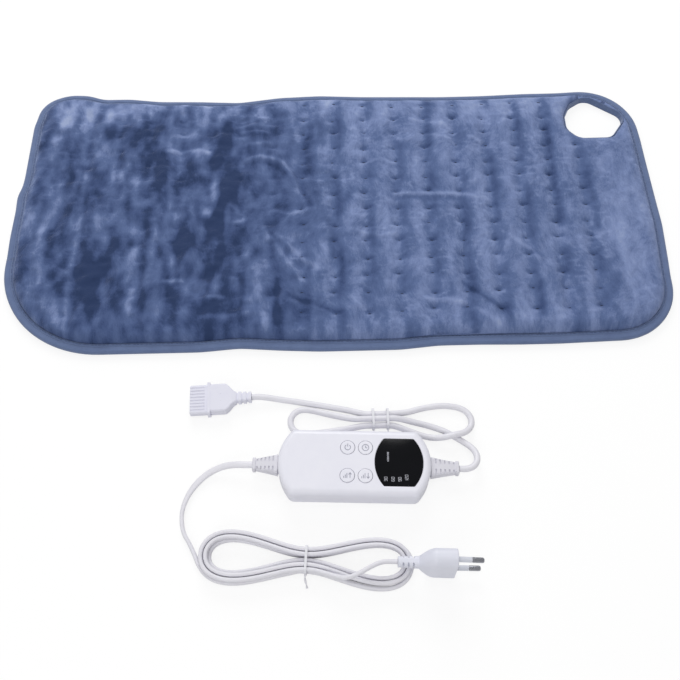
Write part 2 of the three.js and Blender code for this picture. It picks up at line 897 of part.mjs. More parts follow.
function temperatureSensor() {
  const radius = sensor.diameter / 2;
  const half = sensor.length / 2;
  const round = arc(0, half - radius, radius, 0, quarterTurn, facets.sectionCorner);
  const cap = round.map((point) => [point.x, point.y]);
  const lower = [...cap].reverse().map(([x, y]) => [x, -y]);
  const body = turned([...lower, ...cap], sides.small);
  const x = lane(sensor.lane) + sensor.fromWire;
  return body.rotateX(quarterTurn).translate(x, sensor.y, feltTop + clearance + radius);
}

function inletHousing() {
  const hollow = box(
    [inletMouth - overrun, inletMouth + inlet.socketDepth],
    [inlet.y - socket.width / 2, inlet.y + socket.width / 2],
    [socketBottom, socketTop],
  );
  return cut(box(inletBox.x, inletBox.y, inletBox.z), hollow);
}

function contactOffsets() {
  return Array.from(
    { length: connector.contactCount },
    (_, index) => (index - (connector.contactCount - 1) / 2) * connector.contactPitch,
  );
}

function inletContactBlock() {
  const back = inletMouth + inlet.socketDepth - clearance;
  const front = back - inlet.plateThickness;
  const middle = (socketBottom + socketTop) / 2;
  const half = socket.width / 2 - clearance;
  const plate = box(
    [front, back],
    [inlet.y - half, inlet.y + half],
    [socketBottom + clearance, socketTop - clearance],
  );
  const blades = contactOffsets().map((offset) => box(
    [front - inlet.bladeLength, front + overrun],
    [inlet.y + offset - inlet.bladeWidth / 2, inlet.y + offset + inlet.bladeWidth / 2],
    [middle - inlet.bladeThickness / 2, middle + inlet.bladeThickness / 2],
  ));
  return join(plate, ...blades);
}

function addPad(part) {
  const group = new THREE.Group();
  piece(group, 'bottom_cover', bottomCover(), finishes.backing);
  piece(group, 'top_cover', topCover(), finishes.plush);
  piece(group, 'edge_binding', edgeBinding(), finishes.tape);
  piece(group, 'hole_binding', holeBinding(), finishes.tape);
  piece(group, 'heater_carrier', heaterCarrier(), finishes.felt);
  const section = { width: wire.diameter, thickness: wire.diameter, count: sides.wire };
  piece(group, 'heating_wire', sweep(wirePoints(), section), finishes.wire);
  piece(group, 'temperature_sensor', temperatureSensor(), finishes.darkPlastic);
  piece(group, 'inlet_housing', inletHousing(), finishes.darkPlastic);
  piece(group, 'inlet_contact_block', inletContactBlock(), finishes.brass);
  part.add(group);
}

// The controller

const roofBottom = casing.height - casing.roof;
const topSplit = casing.split + clearance;
const boardTop = board.z + board.thickness;
const partsBase = boardTop + clearance;
const cordHeight = casing.split + clearance / 2;
const capTop = casing.height + button.rise;
const capFlangeTop = roofBottom - clearance;
const capFlangeBottom = capFlangeTop - button.flangeThickness;
const plungerBottom = partsBase + tactSwitch.height - tactSwitch.plungerLength + tactSwitch.plungerRise;
const plungerTop = plungerBottom + tactSwitch.plungerLength;
const recessFloor = casing.height - display.thickness - clearance;

const boardLength = casing.length - 2 * board.endMargin;
const boardDepth = casing.depth - 2 * board.sideMargin;
const displayX = casing.length / 2 - display.fromEnd;
const screwX = casing.length / 2 - screw.fromEnd;
const screwY = casing.depth / 2 - screw.fromSide;
const screwPlaces = cornerSigns.map(([x, y]) => [x * screwX, y * screwY]);
const bossTop = boardTop - screw.bossGap;
const postBottom = bossTop + clearance;

const rightColumn = displayX - buttonPlaces.fromDisplay + buttonPlaces.columnPitch / 2;
const leftColumn = rightColumn - buttonPlaces.columnPitch;
const rearRow = buttonPlaces.rowPitch / 2;
const powerEnd = -boardLength / 2;
const powerSpan = leftColumn - button.radius - button.flangeWidth - powerEnd;
const buttons = [
  { name: 'power', x: leftColumn, y: rearRow },
  { name: 'timer', x: rightColumn, y: rearRow },
  { name: 'heat_up', x: leftColumn, y: -rearRow },
  { name: 'heat_down', x: rightColumn, y: -rearRow },
];

// How far the inner wall's bow falls back at the edge of a relief's flange.
const flangeSagitta = (() => {
  const inner = casing.bow - casing.wall;
  return inner - Math.sqrt(inner ** 2 - (relief.flangeWidth / 2 + clearance) ** 2);
})();

// Openings for the two reliefs' necks, cut from both shells.
function neckCuts(reach) {
  const halfWidth = relief.neckWidth / 2 + clearance;
  const halfHeight = relief.neckHeight / 2 + clearance;
  const inner = casing.length / 2 - reach;
  const tool = (side) => box(
    side > 0 ? [inner, casing.length] : [-casing.length, -inner],
    [-halfWidth, halfWidth],
    [cordHeight - halfHeight, cordHeight + halfHeight],
  );
  return [tool(1), tool(-1)];
}

function lipRing() {
  const outerInset = casing.wall + clearance;
  const innerInset = outerInset + casing.lipThickness;
  const root = casing.split - casing.lipRoot;
  const top = casing.split + casing.lipHeight;
  const rooted = prism(barrelOutline(casing, casing.wall / 2), root, casing.split - clearance);
  const raised = prism(barrelOutline(casing, outerInset), root, top);
  const hollow = prism(barrelOutline(casing, innerInset), root - overrun, top + overrun);
  const gapWidth = relief.flangeWidth / 2 + clearance;
  const gap = box([-casing.length, casing.length], [-gapWidth, gapWidth], [root - overrun, top + overrun]);
  return cut(join(rooted, raised), hollow, gap);
}

function bottomShell() {
  const foot = arc(0, 0, 1, -quarterTurn, 0, facets.crown).map((share) => levelRing(
    barrelOutline(casing, casing.footInset * (1 - share.x)),
    casing.footHeight * (1 + share.y),
  ));
  const outside = loft([...foot, levelRing(barrelOutline(casing), casing.split)]);
  const inside = prism(barrelOutline(casing, casing.wall), casing.floor, casing.split + overrun);
  const bosses = screwPlaces.map(([x, y]) => cylinder(
    screw.bossRadius,
    casing.floor / 2,
    bossTop,
    x,
    y,
    sides.bore,
  ));
  const rests = cornerSigns.map(([x, y]) => cylinder(
    board.restRadius,
    casing.floor / 2,
    board.z - clearance,
    x * (boardLength / 2 - board.restFromEnd),
    y * (boardDepth / 2 - board.restFromEdge),
  ));
  const recesses = screwPlaces.map(([x, y]) => cylinder(
    screw.headRadius + clearance,
    -overrun,
    screw.recessDepth,
    x,
    y,
    sides.bore,
  ));
  const bores = screwPlaces.map(([x, y]) => cylinder(
    screw.shaftRadius + clearance,
    0,
    boardTop + overrun,
    x,
    y,
  ));
  const shell = join(cut(outside, inside), ...bosses, ...rests);
  return join(cut(shell, ...recesses, ...bores, ...neckCuts(casing.wall * 2)), lipRing());
}

function topShell() {
  const crown = arc(0, 0, 1, 0, quarterTurn, facets.crown + 1).map((share) => levelRing(
    barrelOutline(casing, casing.crownInset * (1 - share.x)),
    casing.height - casing.crownHeight * (1 - share.y),
  ));
  const outside = loft([levelRing(barrelOutline(casing), topSplit), ...crown]);
  const inside = prism(barrelOutline(casing, casing.wall), topSplit - overrun, roofBottom);
  const posts = screwPlaces.map(([x, y]) => cylinder(
    screw.postRadius,
    postBottom,
    roofBottom + casing.roof / 2,
    x,
    y,
    sides.bore,
  ));
  const pilotTop = postBottom + screw.grip + screw.pilotSpare;
  const pilots = screwPlaces.map(([x, y]) => cylinder(screw.shaftRadius + clearance, 0, pilotTop, x, y));
  const recess = prism(barrelOutline(display, -clearance), recessFloor, casing.height + overrun)
    .translate(displayX, 0, 0);
  const ledged = { ...display, corner: display.corner + display.ledge };
  const window = prism(barrelOutline(ledged, display.ledge), 0, casing.height).translate(displayX, 0, 0);
  const holes = buttons.map(({ x, y }) => cylinder(
    button.radius + clearance,
    0,
    casing.height + overrun,
    x,
    y,
    sides.button,
  ));
  const shell = join(cut(outside, inside), ...posts);
  return cut(shell, ...pilots, recess, window, ...holes, ...neckCuts(casing.wall * 2));
}

function displayLens() {
  const bottom = recessFloor + clearance;
  return prism(barrelOutline(display), bottom, bottom + display.thickness).translate(displayX, 0, 0);
}

function displayModule() {
  const baseTop = partsBase + display.baseThickness;
  const { moduleLength, moduleDepth, baseMargin } = display;
  return join(
    box(centred(moduleLength), centred(moduleDepth), [partsBase, baseTop]),
    box(
      centred(moduleLength - 2 * baseMargin),
      centred(moduleDepth - 2 * baseMargin),
      [partsBase + display.baseThickness / 2, roofBottom - clearance],
    ),
  ).translate(displayX, 0, 0);
}

function circuitBoard() {
  const plate = box(centred(boardLength), centred(boardDepth), [board.z, boardTop]);
  const notches = screwPlaces.map(([x, y]) => cylinder(
    screw.bossRadius + board.postGap,
    board.z - overrun,
    boardTop + overrun,
    x,
    y,
    sides.bore,
  ));
  return cut(plate, ...notches);
}

function buttonCap() {
  const { radius, edgeRound, dishRadius, dishDepth, flangeWidth, stemRadius } = button;
  return turned([
    [0, plungerTop + clearance],
    [stemRadius, plungerTop + clearance],
    [stemRadius, capFlangeBottom],
    [radius + flangeWidth, capFlangeBottom],
    [radius + flangeWidth, capFlangeTop],
    [radius, capFlangeTop],
    [radius, capTop - edgeRound],
    [radius - edgeRound, capTop],
    [dishRadius, capTop],
    [0, capTop - dishDepth],
  ], sides.button);
}

function tactSwitchBase() {
  const half = tactSwitch.size / 2;
  const top = partsBase + tactSwitch.height;
  return cut(
    box([-half, half], [-half, half], [partsBase, top]),
    cylinder(tactSwitch.boreRadius, top - tactSwitch.boreDepth, top + overrun),
  );
}

function filmCapacitor() {
  const { depth, height, edge } = capacitor;
  const length = capacitor.lengthShare * powerSpan;
  const level = (inset, z) => levelRing(roundedRectangle(length - 2 * inset, depth - 2 * inset, edge), z);
  const top = partsBase + height;
  const body = loft([level(0, partsBase), level(0, top - edge), level(edge / 2, top)]);
  return body.translate(powerEnd + capacitor.placeShare * powerSpan, capacitor.y, 0);
}

function triacPiece() {
  const { depth, height, tabThickness, tabWidth } = triac;
  const length = triac.lengthShare * powerSpan;
  const tabLength = triac.tabShare * powerSpan;
  return join(
    box(centred(length), centred(depth), [partsBase, partsBase + height]),
    box(
      [-length / 2 - tabLength, -length / 2 + overrun],
      centred(tabWidth),
      [partsBase, partsBase + tabThickness],
    ),
  ).translate(powerEnd + triac.placeShare * powerSpan, triac.y, 0);
}

function fusePiece() {
  const { length, capLength, capRadius, tubeRadius } = fuse;
  const half = length / 2;
  const inner = half - capLength;
  const profile = [
    [0, -half],
    [capRadius, -half],
    [capRadius, -inner],
    [tubeRadius, -inner],
    [tubeRadius, inner],
    [capRadius, inner],
    [capRadius, half],
    [0, half],
  ];
  const body = turned(profile, sides.small).rotateX(quarterTurn);
  return body.translate(powerEnd + fuse.placeShare * powerSpan, fuse.y, partsBase + capRadius);
}

function caseScrew(x, y) {
  const headTop = screw.recessDepth - clearance;
  const tip = postBottom + screw.grip;
  return turned([
    [0, headTop - screw.headHeight],
    [screw.headRadius, headTop - screw.headHeight],
    [screw.headRadius, headTop],
    [screw.shaftRadius, headTop],
    [screw.shaftRadius, tip - screw.shaftRadius],
    [0, tip],
  ], sides.screw).translate(x, y, 0);
}

// A strain relief from its flange inside the casing out along +X. Its x is 0 at the casing's end.
function strainRelief(length) {
  const wallSpan = casing.wall + flangeSagitta + clearance;
  const level = (x, width, height) => uprightRing(roundedRectangle(width, height, relief.corner), x);
  const taper = (share, base, tip) => THREE.MathUtils.lerp(base, tip, share);
  const collarStart = length - relief.collarLength;
  const collarWidth = relief.tipWidth + 2 * relief.collarRise;
  const collarHeight = relief.tipHeight + 2 * relief.collarRise;
  const body = loft([
    level(-wallSpan - relief.flangeThickness, relief.flangeWidth, relief.flangeHeight),
    level(-wallSpan, relief.flangeWidth, relief.flangeHeight),
    level(-wallSpan, relief.neckWidth, relief.neckHeight),
    level(clearance, relief.neckWidth, relief.neckHeight),
    level(clearance, relief.baseWidth, relief.baseHeight),
    level(collarStart, relief.tipWidth, relief.tipHeight),
    level(collarStart, collarWidth, collarHeight),
    level(length, collarWidth, collarHeight),
  ]);
  const pitch = (collarStart - relief.slotMargin) / relief.slotRows;
  const slots = Array.from({ length: relief.slotRows }, (_, row) => {
    const x = relief.slotMargin + (row + 0.5) * pitch;
    const halfWidth = taper(x / collarStart, relief.baseWidth, relief.tipWidth) / 2 - relief.rim;
    const along = [x - relief.slotWidth / 2, x + relief.slotWidth / 2];
    const through = [-relief.baseHeight, relief.baseHeight];
    const core = relief.coreWidth / 2;
    return [box(along, [core, halfWidth], through), box(along, [-halfWidth, -core], through)];
  }).flat();
  return cut(body, ...slots);
}

function addController(part) {
  const group = new THREE.Group();
  group.position.set(casing.x, casing.y, 0);
  group.rotation.z = radians(casing.turnDegrees);
  piece(group, 'bottom_shell', bottomShell(), finishes.whitePlastic);
  piece(group, 'top_shell', topShell(), finishes.whitePlastic);
  piece(group, 'display_lens', displayLens(), finishes.displayGlass);
  piece(group, 'display_module', displayModule(), finishes.darkPlastic);
  piece(group, 'circuit_board', circuitBoard(), finishes.laminate);
  piece(group, 'film_capacitor', filmCapacitor(), finishes.darkPlastic);
  piece(group, 'triac', triacPiece(), finishes.darkPlastic);
  piece(group, 'fuse', fusePiece(), finishes.steel);
  buttons.forEach(({ name, x, y }) => {
    const plunger = cylinder(tactSwitch.plungerRadius, plungerBottom, plungerTop, x, y);
    piece(group, `${name}_button`, buttonCap().translate(x, y, 0), finishes.whitePlastic);
    piece(group, `${name}_plunger`, plunger, finishes.darkPlastic);
    piece(group, `${name}_switch`, tactSwitchBase().translate(x, y, 0), finishes.darkPlastic);
  });
  screwPlaces.forEach(([x, y], index) => {
    piece(group, `case_screw_${index + 1}`, caseScrew(x, y), finishes.steel);
  });
  const end = casing.length / 2;
  const mains = strainRelief(relief.mainsLength).rotateZ(Math.PI).translate(-end, 0, cordHeight);
  const lead = strainRelief(relief.leadLength).translate(end, 0, cordHeight);
  piece(group, 'mains_strain_relief', mains, finishes.cordPlastic);
  piece(group, 'lead_strain_relief', lead, finishes.cordPlastic);
  part.add(group);
}

// The connector

const connectorStations = (() => {
  const relieved = connector.reliefLength;
  const shouldered = relieved + connector.shoulderLength;
  const bodied = shouldered + connector.bodyLength;
  const flanged = bodied + connector.flangeLength;
  return { relieved, shouldered, bodied, flanged, end: flanged + connector.noseLength };
})();

function connectorBody() {
  const { relieved, shouldered, bodied, flanged, end } = connectorStations;
  const level = (x, width, thickness) => {
    const corner = Math.min(connector.cornerRadius, thickness / 2 - clearance);
    return uprightRing(roundedRectangle(width, thickness, corner), x);
  };
  const reliefLevels = Array.from({ length: connector.ringCount }, (_, index) => {
    const pitch = relieved / connector.ringCount;
    const start = index * pitch;
    const share = (index + 0.5) / connector.ringCount;
    const width = THREE.MathUtils.lerp(connector.cordEnd, connector.neckWidth, share);
    const thickness = THREE.MathUtils.lerp(connector.cordEnd, connector.neckThickness, share);
    const dip = 2 * connector.ringDepth;
    return [
      level(start, width, thickness),
      level(start + pitch * connector.ringShare, width, thickness),
      level(start + pitch * connector.ringShare, width - dip, thickness - dip),
      level(start + pitch, width - dip, thickness - dip),
    ];
  }).flat();
  const shoulderWidth = (connector.neckWidth + connector.bodyWidth) / 2;
  const body = loft([
    ...reliefLevels,
    level(relieved, connector.neckWidth, connector.neckThickness),
    level((relieved + shouldered) / 2, shoulderWidth, connector.bodyThickness),
    level(shouldered, connector.bodyWidth, connector.bodyThickness),
    level(bodied, connector.bodyWidth, connector.bodyThickness),
    level(bodied, connector.flangeWidth, connector.flangeThickness),
    level(flanged, connector.flangeWidth, connector.flangeThickness),
    level(flanged, connector.noseWidth, connector.noseThickness),
    level(end, connector.noseWidth, connector.noseThickness),
  ]);
  const groovePitch = (connector.noseWidth - 2 * connector.cornerRadius) / connector.grooveCount;
  const grooveX = [end - connector.grooveLength, end + overrun];
  const grooves = Array.from({ length: connector.grooveCount }, (_, index) => {
    const y = (index - (connector.grooveCount - 1) / 2) * groovePitch;
    const across = [y - connector.grooveWidth / 2, y + connector.grooveWidth / 2];
    const floor = connector.noseThickness / 2 - connector.grooveDepth;
    const past = connector.noseThickness / 2 + overrun;
    return [box(grooveX, across, [floor, past]), box(grooveX, across, [-past, -floor])];
  }).flat();
  const slots = contactOffsets().map((y) => box(
    [end - connector.contactDepth, end + overrun],
    [y - connector.contactWidth / 2, y + connector.contactWidth / 2],
    centred(connector.contactHeight),
  ));
  return cut(body, ...grooves, ...slots);
}

// A folded brass sleeve in one of the nose's slots, open at its front.
function connectorContact(y) {
  const { end } = connectorStations;
  const across = grown(centred(connector.contactWidth), -clearance);
  const high = grown(centred(connector.contactHeight), -clearance);
  const back = end - connector.contactDepth + clearance;
  const front = end - clearance;
  const wall = connector.contactWall;
  return cut(
    box([back, front], across, high),
    box([back + wall, front + overrun], grown(across, -wall), grown(high, -wall)),
  ).translate(0, y, 0);
}

function addConnector(part) {
  const group = new THREE.Group();
  group.position.set(connector.x, connector.y, connector.z);
  group.rotation.z = radians(connector.turnDegrees);
  piece(group, 'connector_body', connectorBody(), finishes.cordPlastic);
  contactOffsets().forEach((y, index) => {
    piece(group, `connector_contact_${index + 1}`, connectorContact(y), finishes.brass);
  });
  part.add(group);
}

// The plug

const plugStations = (() => {
  const neck = plug.reliefLength;
  const flare = neck + plug.neckLength;
  const body = flare + plug.flareLength;
  return { neck, flare, body, face: body + plug.bodyLength };
})();

// Pins stand on the plug's face one above the other and lean towards each other.
function pinPlace(side) {
  const lean = Math.atan2((pin.spacing - pin.tipSpacing) / 2, pin.length);
  const place = new THREE.Matrix4().makeTranslation(plugStations.face, 0, (side * pin.spacing) / 2);
  return place.multiply(new THREE.Matrix4().makeRotationY(quarterTurn + side * lean));
}

function plugBody() {
  const { neck, flare, body, face } = plugStations;
  const level = (x, thickness, width, corner) => uprightRing(roundedRectangle(thickness, width, corner), x);
  const { lerp } = THREE.MathUtils;
  const flareLevels = Array.from({ length: facets.plugFlare - 1 }, (_, step) => {
    const share = (step + 1) / facets.plugFlare;
    const rise = Math.sin(share * quarterTurn);
    return level(
      lerp(flare, body, share),
      lerp(plug.neckThickness, plug.bodyThickness, rise),
      lerp(plug.neckWidth, plug.bodyWidth, rise),
      lerp(plug.neckCorner, plug.bodyCorner, rise),
    );
  });
  const shape = loft([
    level(0, plug.reliefThickness, plug.reliefWidth, plug.neckCorner),
    level(neck, plug.neckThickness, plug.neckWidth, plug.neckCorner),
    level(flare, plug.neckThickness, plug.neckWidth, plug.neckCorner),
    ...flareLevels,
    level(body, plug.bodyThickness, plug.bodyWidth, plug.bodyCorner),
    level(face - plug.faceRound, plug.bodyThickness, plug.bodyWidth, plug.bodyCorner),
    level(
      face,
      plug.bodyThickness - 2 * plug.faceRound,
      plug.bodyWidth - 2 * plug.faceRound,
      plug.bodyCorner - plug.faceRound,
    ),
  ]);
  const pitch = (neck - plug.slotMargin) / plug.slotRows;
  const grooves = Array.from({ length: plug.slotRows }, (_, row) => {
    const x = plug.slotMargin + (row + 0.5) * pitch;
    const along = [x - plug.slotWidth / 2, x + plug.slotWidth / 2];
    const through = [-plug.reliefWidth, plug.reliefWidth];
    const core = plug.coreThickness / 2;
    const past = plug.neckThickness;
    return [box(along, [core, past], through), box(along, [-past, -core], through)];
  }).flat();
  const sockets = [1, -1].map((side) => cylinder(
    pin.coreRadius + clearance,
    -pin.rootLength - clearance,
    overrun,
  ).applyMatrix4(pinPlace(side)));
  return cut(shape, ...grooves, ...sockets);
}

function plugPin(side) {
  const shoulder = clearance + pin.sleeveLength + clearance;
  return turned([
    [0, -pin.rootLength],
    [pin.coreRadius, -pin.rootLength],
    [pin.coreRadius, shoulder],
    [pin.radius, shoulder],
    [pin.radius, pin.length - pin.tipRound],
    [pin.radius - pin.tipRound / 3, pin.length - pin.tipRound / 3],
    [pin.radius - pin.tipRound, pin.length],
    [0, pin.length],
  ], sides.small).applyMatrix4(pinPlace(side));
}

function pinSleeve(side) {
  const inner = pin.coreRadius + clearance;
  const top = clearance + pin.sleeveLength;
  return turned([
    [inner, clearance],
    [pin.radius, clearance],
    [pin.radius, top],
    [inner, top],
    [inner, clearance],
  ], sides.small).applyMatrix4(pinPlace(side));
}

function addPlug(part) {
  const group = new THREE.Group();
  group.position.set(plug.x, plug.y, plug.z);
  group.rotation.set(radians(plug.leanDegrees), 0, radians(plug.turnDegrees), 'ZYX');
  piece(group, 'plug_body', plugBody(), finishes.plugPlastic);
  [1, -1].forEach((side, index) => {
    piece(group, `plug_pin_${index + 1}`, plugPin(side), finishes.steel);
    piece(group, `pin_sleeve_${index + 1}`, pinSleeve(side), finishes.plugPlastic);
  });
  part.add(group);
}

// The cords

const strandPitch = mainsCord.thickness + mainsHank.strandGap;
const layerRise = mainsCord.width + mainsHank.strandGap;

// The outermost loop of the hank, drawn in at its waist, for an angle along it.
function hankOutline(angle) {
  const swell = Math.hypot(Math.sin(angle), waistRoundingShare) - waistRoundingShare;
  return new THREE.Vector2(
    mainsHank.halfLength * Math.sin(angle),
    -Math.cos(angle) * (mainsHank.waist + mainsHank.lobe * swell),
  );
}

// A point of the hank after so many loops. They spiral in, climb a layer and spiral out again.
function hankPoint(loops) {
  const angle = 2 * Math.PI * loops;
  const smallTurn = 0.001;
  const forward = hankOutline(angle + smallTurn).sub(hankOutline(angle - smallTurn)).normalize();
  const half = mainsHank.loops / 2;
  const inward = strandPitch * Math.min(loops, mainsHank.loops - loops);
  const place = hankOutline(angle).addScaledVector(new THREE.Vector2(-forward.y, forward.x), inward);
  const climb = THREE.MathUtils.smoothstep(loops, half - climbShare / 2, half + climbShare / 2);
  const lift = mainsHank.tieLift * Math.exp(-((place.x / mainsHank.tieReach) ** 2));
  return new THREE.Vector3(place.x, place.y, mainsCord.width / 2 + layerRise * climb + lift);
}

// Points along the hank, with a straight stretch of one cord's width each side of the tie on every strand.
function mainsHankPoints(stepsPerLoop) {
  const straight = Math.asin(mainsCord.width / mainsHank.halfLength) / (2 * Math.PI);
  const halfSteps = stepsPerLoop / 2 - 2;
  const loops = Array.from({ length: 2 * mainsHank.loops }, (_, half) => {
    const even = Array.from({ length: halfSteps - 1 }, (__, step) => (step + 1) / (2 * halfSteps));
    return [0, straight, ...even, 0.5 - straight].map((share) => half / 2 + share);
  }).flat();
  return [...loops, mainsHank.loops].map(hankPoint);
}

// Stretches of a cord count as lying apart along it from this many of its widths.
const apartWidths = 5;

// Least gap between stretches of one cord that lie apart along it. A flat cord stands on edge.
function leastGap(points, { width, thickness }) {
  const lengths = [0];
  points.slice(1).forEach((point, index) => lengths.push(lengths[index] + point.distanceTo(points[index])));
  const core = width - thickness;
  const apart = apartWidths * width;
  let least = Infinity;
  points.forEach((point, index) => points.slice(index + 1).forEach((other, offset) => {
    if (lengths[index + 1 + offset] - lengths[index] < apart) return;
    const across = Math.hypot(point.x - other.x, point.y - other.y);
    const above = Math.max(0, Math.abs(point.z - other.z) - core);
    least = Math.min(least, Math.hypot(across, above) - thickness);
  }));
  return least;
}

// A twist tie round strands that run along X, with its twisted end lying outwards.
function tieBand({ z, innerWidth, innerHeight, endLength }) {
  const outerWidth = innerWidth + 2 * tie.thickness;
  const outerHeight = innerHeight + 2 * tie.thickness;
  const half = tie.bandWidth / 2;
  const ring = (width, height, corner, reach) => loft([
    uprightRing(roundedRectangle(width, height, corner), -reach),
    uprightRing(roundedRectangle(width, height, corner), reach),
  ]);
  const band = cut(
    ring(outerWidth, outerHeight, tie.corner + tie.thickness, half),
    ring(innerWidth, innerHeight, tie.corner, half + overrun),
  );
  const edge = -outerWidth / 2;
  const drop = tie.endWidth - z;
  const route = [
    [0, edge + tie.thickness / 2, 0],
    [0, edge - endLength / 3, drop / 3],
    [tie.bandWidth / 2, edge - (endLength * 2) / 3, (drop * 2) / 3],
    [tie.bandWidth, edge - endLength, drop],
  ];
  const end = sweep(
    smoothPath(route).getSpacedPoints(steps.tieEnd),
    { width: tie.endWidth, thickness: tie.thickness, count: 4 },
    (share) => Math.PI * share,
  );
  return join(band, end);
}

function addMainsCord(part) {
  const flat = { ...mainsCord, count: sides.flatCord };
  const ontoEdge = (share) => quarterTurn * THREE.MathUtils.smoothstep(share, ...twistShares);
  const run = sweep(smoothPath(mainsRunRoute).getSpacedPoints(steps.mainsRun), flat, ontoEdge);
  piece(part, 'mains_cord_run', run, finishes.cordPlastic);

  const group = new THREE.Group();
  group.position.set(mainsHank.x, mainsHank.y, 0);
  group.rotation.z = radians(mainsHank.turnDegrees);
  const hank = sweep(
    mainsHankPoints(steps.mainsLoop),
    { ...mainsCord, count: sides.hank },
    () => quarterTurn,
  );
  piece(group, 'mains_cord_hank', hank, finishes.cordPlastic);
  const tail = sweep(smoothPath(mainsTailRoute).getSpacedPoints(steps.mainsTail), flat, () => quarterTurn);
  piece(group, 'mains_cord_tail', tail, finishes.cordPlastic);
  const band = tieBand(mainsTie).translate(0, mainsTie.offset, mainsTie.z);
  piece(group, 'mains_tie', band, finishes.cordPlastic);
  part.add(group);
}

function addLeadCord(part) {
  const { diameter } = leadCord;
  piece(part, 'lead_cord_run', roundTube(leadRunRoute, diameter, steps.leadRun), finishes.cordPlastic);
  piece(part, 'lead_cord_hank', roundTube(leadHankRoute, diameter, steps.leadHank), finishes.cordPlastic);
  piece(part, 'lead_cord_tail', roundTube(leadTailRoute, diameter, steps.leadTail), finishes.cordPlastic);
  leadTiePlaces.forEach(({ point, endLength }, index) => {
    const [x, y] = leadHankRoute[point];
    const band = tieBand({ ...leadTie, endLength }).translate(x, y + leadTie.offset, leadTie.z);
    piece(part, `lead_tie_${index + 1}`, band, finishes.cordPlastic);
  });
}

const part = new THREE.Group();
addPad(part);
addConnector(part);
addLeadCord(part);
addController(part);
addMainsCord(part);
addPlug(part);

const gapSamples = 480;
const mainsSamples = mainsHankPoints(gapSamples / mainsHank.loops);
const leadSection = { width: leadCord.diameter, thickness: leadCord.diameter };
console.log('least gap in the mains hank', leastGap(mainsSamples, mainsCord).toFixed(2), 'mm');
console.log(
  'least gap in the lead hank',
  leastGap(smoothPath(leadHankRoute).getSpacedPoints(gapSamples), leadSection).toFixed(2),
  'mm',
);

export default part;
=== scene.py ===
"""The looks of a quilted heating pad with its push-button controller, lead and mains cord.

Lengths are millimetres in the part's own frame: X along the pad, Y from the controller to the pad, Z up.
"""

import logging
import math
from dataclasses import dataclass, field
from enum import Enum

import bmesh
import bpy
import numpy as np
from mathutils import Matrix, Vector, geometry, noise
from mathutils.kdtree import KDTree


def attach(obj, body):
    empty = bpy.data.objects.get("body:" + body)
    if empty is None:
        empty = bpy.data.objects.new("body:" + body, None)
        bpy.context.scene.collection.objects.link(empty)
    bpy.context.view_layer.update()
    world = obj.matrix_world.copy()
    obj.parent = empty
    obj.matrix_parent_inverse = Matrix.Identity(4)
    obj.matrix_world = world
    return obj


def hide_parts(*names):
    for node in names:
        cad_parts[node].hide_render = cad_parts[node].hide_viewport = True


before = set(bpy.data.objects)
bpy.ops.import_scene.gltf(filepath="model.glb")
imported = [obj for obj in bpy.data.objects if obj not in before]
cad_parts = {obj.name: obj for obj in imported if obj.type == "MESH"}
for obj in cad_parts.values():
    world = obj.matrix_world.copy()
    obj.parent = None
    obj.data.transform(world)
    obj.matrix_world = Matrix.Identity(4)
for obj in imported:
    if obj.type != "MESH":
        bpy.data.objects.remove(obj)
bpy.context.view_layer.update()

Array, Piece, Finish, Tree = np.ndarray, bpy.types.Object, bpy.types.Material, bpy.types.NodeTree

MM = 0.001
LOG = logging.getLogger("heating_pad")
ROOT = "heating_pad_set"

CREASE = 38  # degrees past which an edge stays sharp
BEVEL_ANGLE = 40  # degrees past which an edge is rounded
SAME_POINT = 1e-6  # metres within which two points of a mesh are one
SAME_CORNER = 1e-4  # millimetres within which two corners of a sheet are one
FACE_STEP = 0.01  # millimetres along a loft that stand for a sudden change of section
WAVE_SCALE = 0.05 * 2 * math.pi  # scale of a wave texture whose bands lie one unit apart


# Curves and outlines

def smoothstep(share: Array) -> Array:
    """Eases a share from 0 to 1, level at both ends."""
    share = np.clip(share, 0, 1)
    return share * share * (3 - 2 * share)


def eased(along: Array, start: float, span: float) -> Array:
    """Eases from 0 to 1 over a span of millimetres from a start."""
    return smoothstep((along - start) / span)


def hump(away: Array, width: float) -> Array:
    """Falls smoothly from 1 to 0 with distance."""
    return np.exp(-(away / width) ** 2)


def arc(centre: tuple, radius: float, start: float, end: float, count: int) -> list:
    """Lists the points of an arc from one angle to another, both ends included."""
    return [
        (centre[0] + radius * math.cos(angle), centre[1] + radius * math.sin(angle))
        for angle in np.linspace(start, end, count + 1)
    ]


def rounded_outline(corners: list, radii: list, growth: float = 0, count: int = 14) -> Array:
    """Rounds the corners of a convex outline.

    Args:
        corners: the sharp corners, anticlockwise.
        radii: each corner's radius.
        growth: how far the outline moves outwards, with the arcs' centres kept.
        count: steps in each corner.
    Returns: the outline's points, anticlockwise.
    """
    points = []
    for index, corner in enumerate(corners):
        corner = Vector(corner)
        before = (Vector(corners[index - 1]) - corner).normalized()
        after = (Vector(corners[(index + 1) % len(corners)]) - corner).normalized()
        half = before.angle(after) / 2
        centre = corner + (before + after).normalized() * (radii[index] / math.sin(half))
        start = math.atan2(before.x, -before.y)
        points += arc(centre, radii[index] + growth, start, start + math.pi - 2 * half, count)
    return np.array(points)


def quarter(count: int, end: float = math.pi / 2) -> list:
    """Lists the shares (inwards, back) by which a quarter round leaves its side and its end."""
    return [(1 - math.cos(turn), 1 - math.sin(turn)) for turn in np.linspace(0, end, count)]


def rectangle(left: float, front: float, right: float, rear: float) -> Array:
    """Lists a rectangle's corners, anticlockwise."""
    return np.array([(left, front), (right, front), (right, rear), (left, rear)], float)


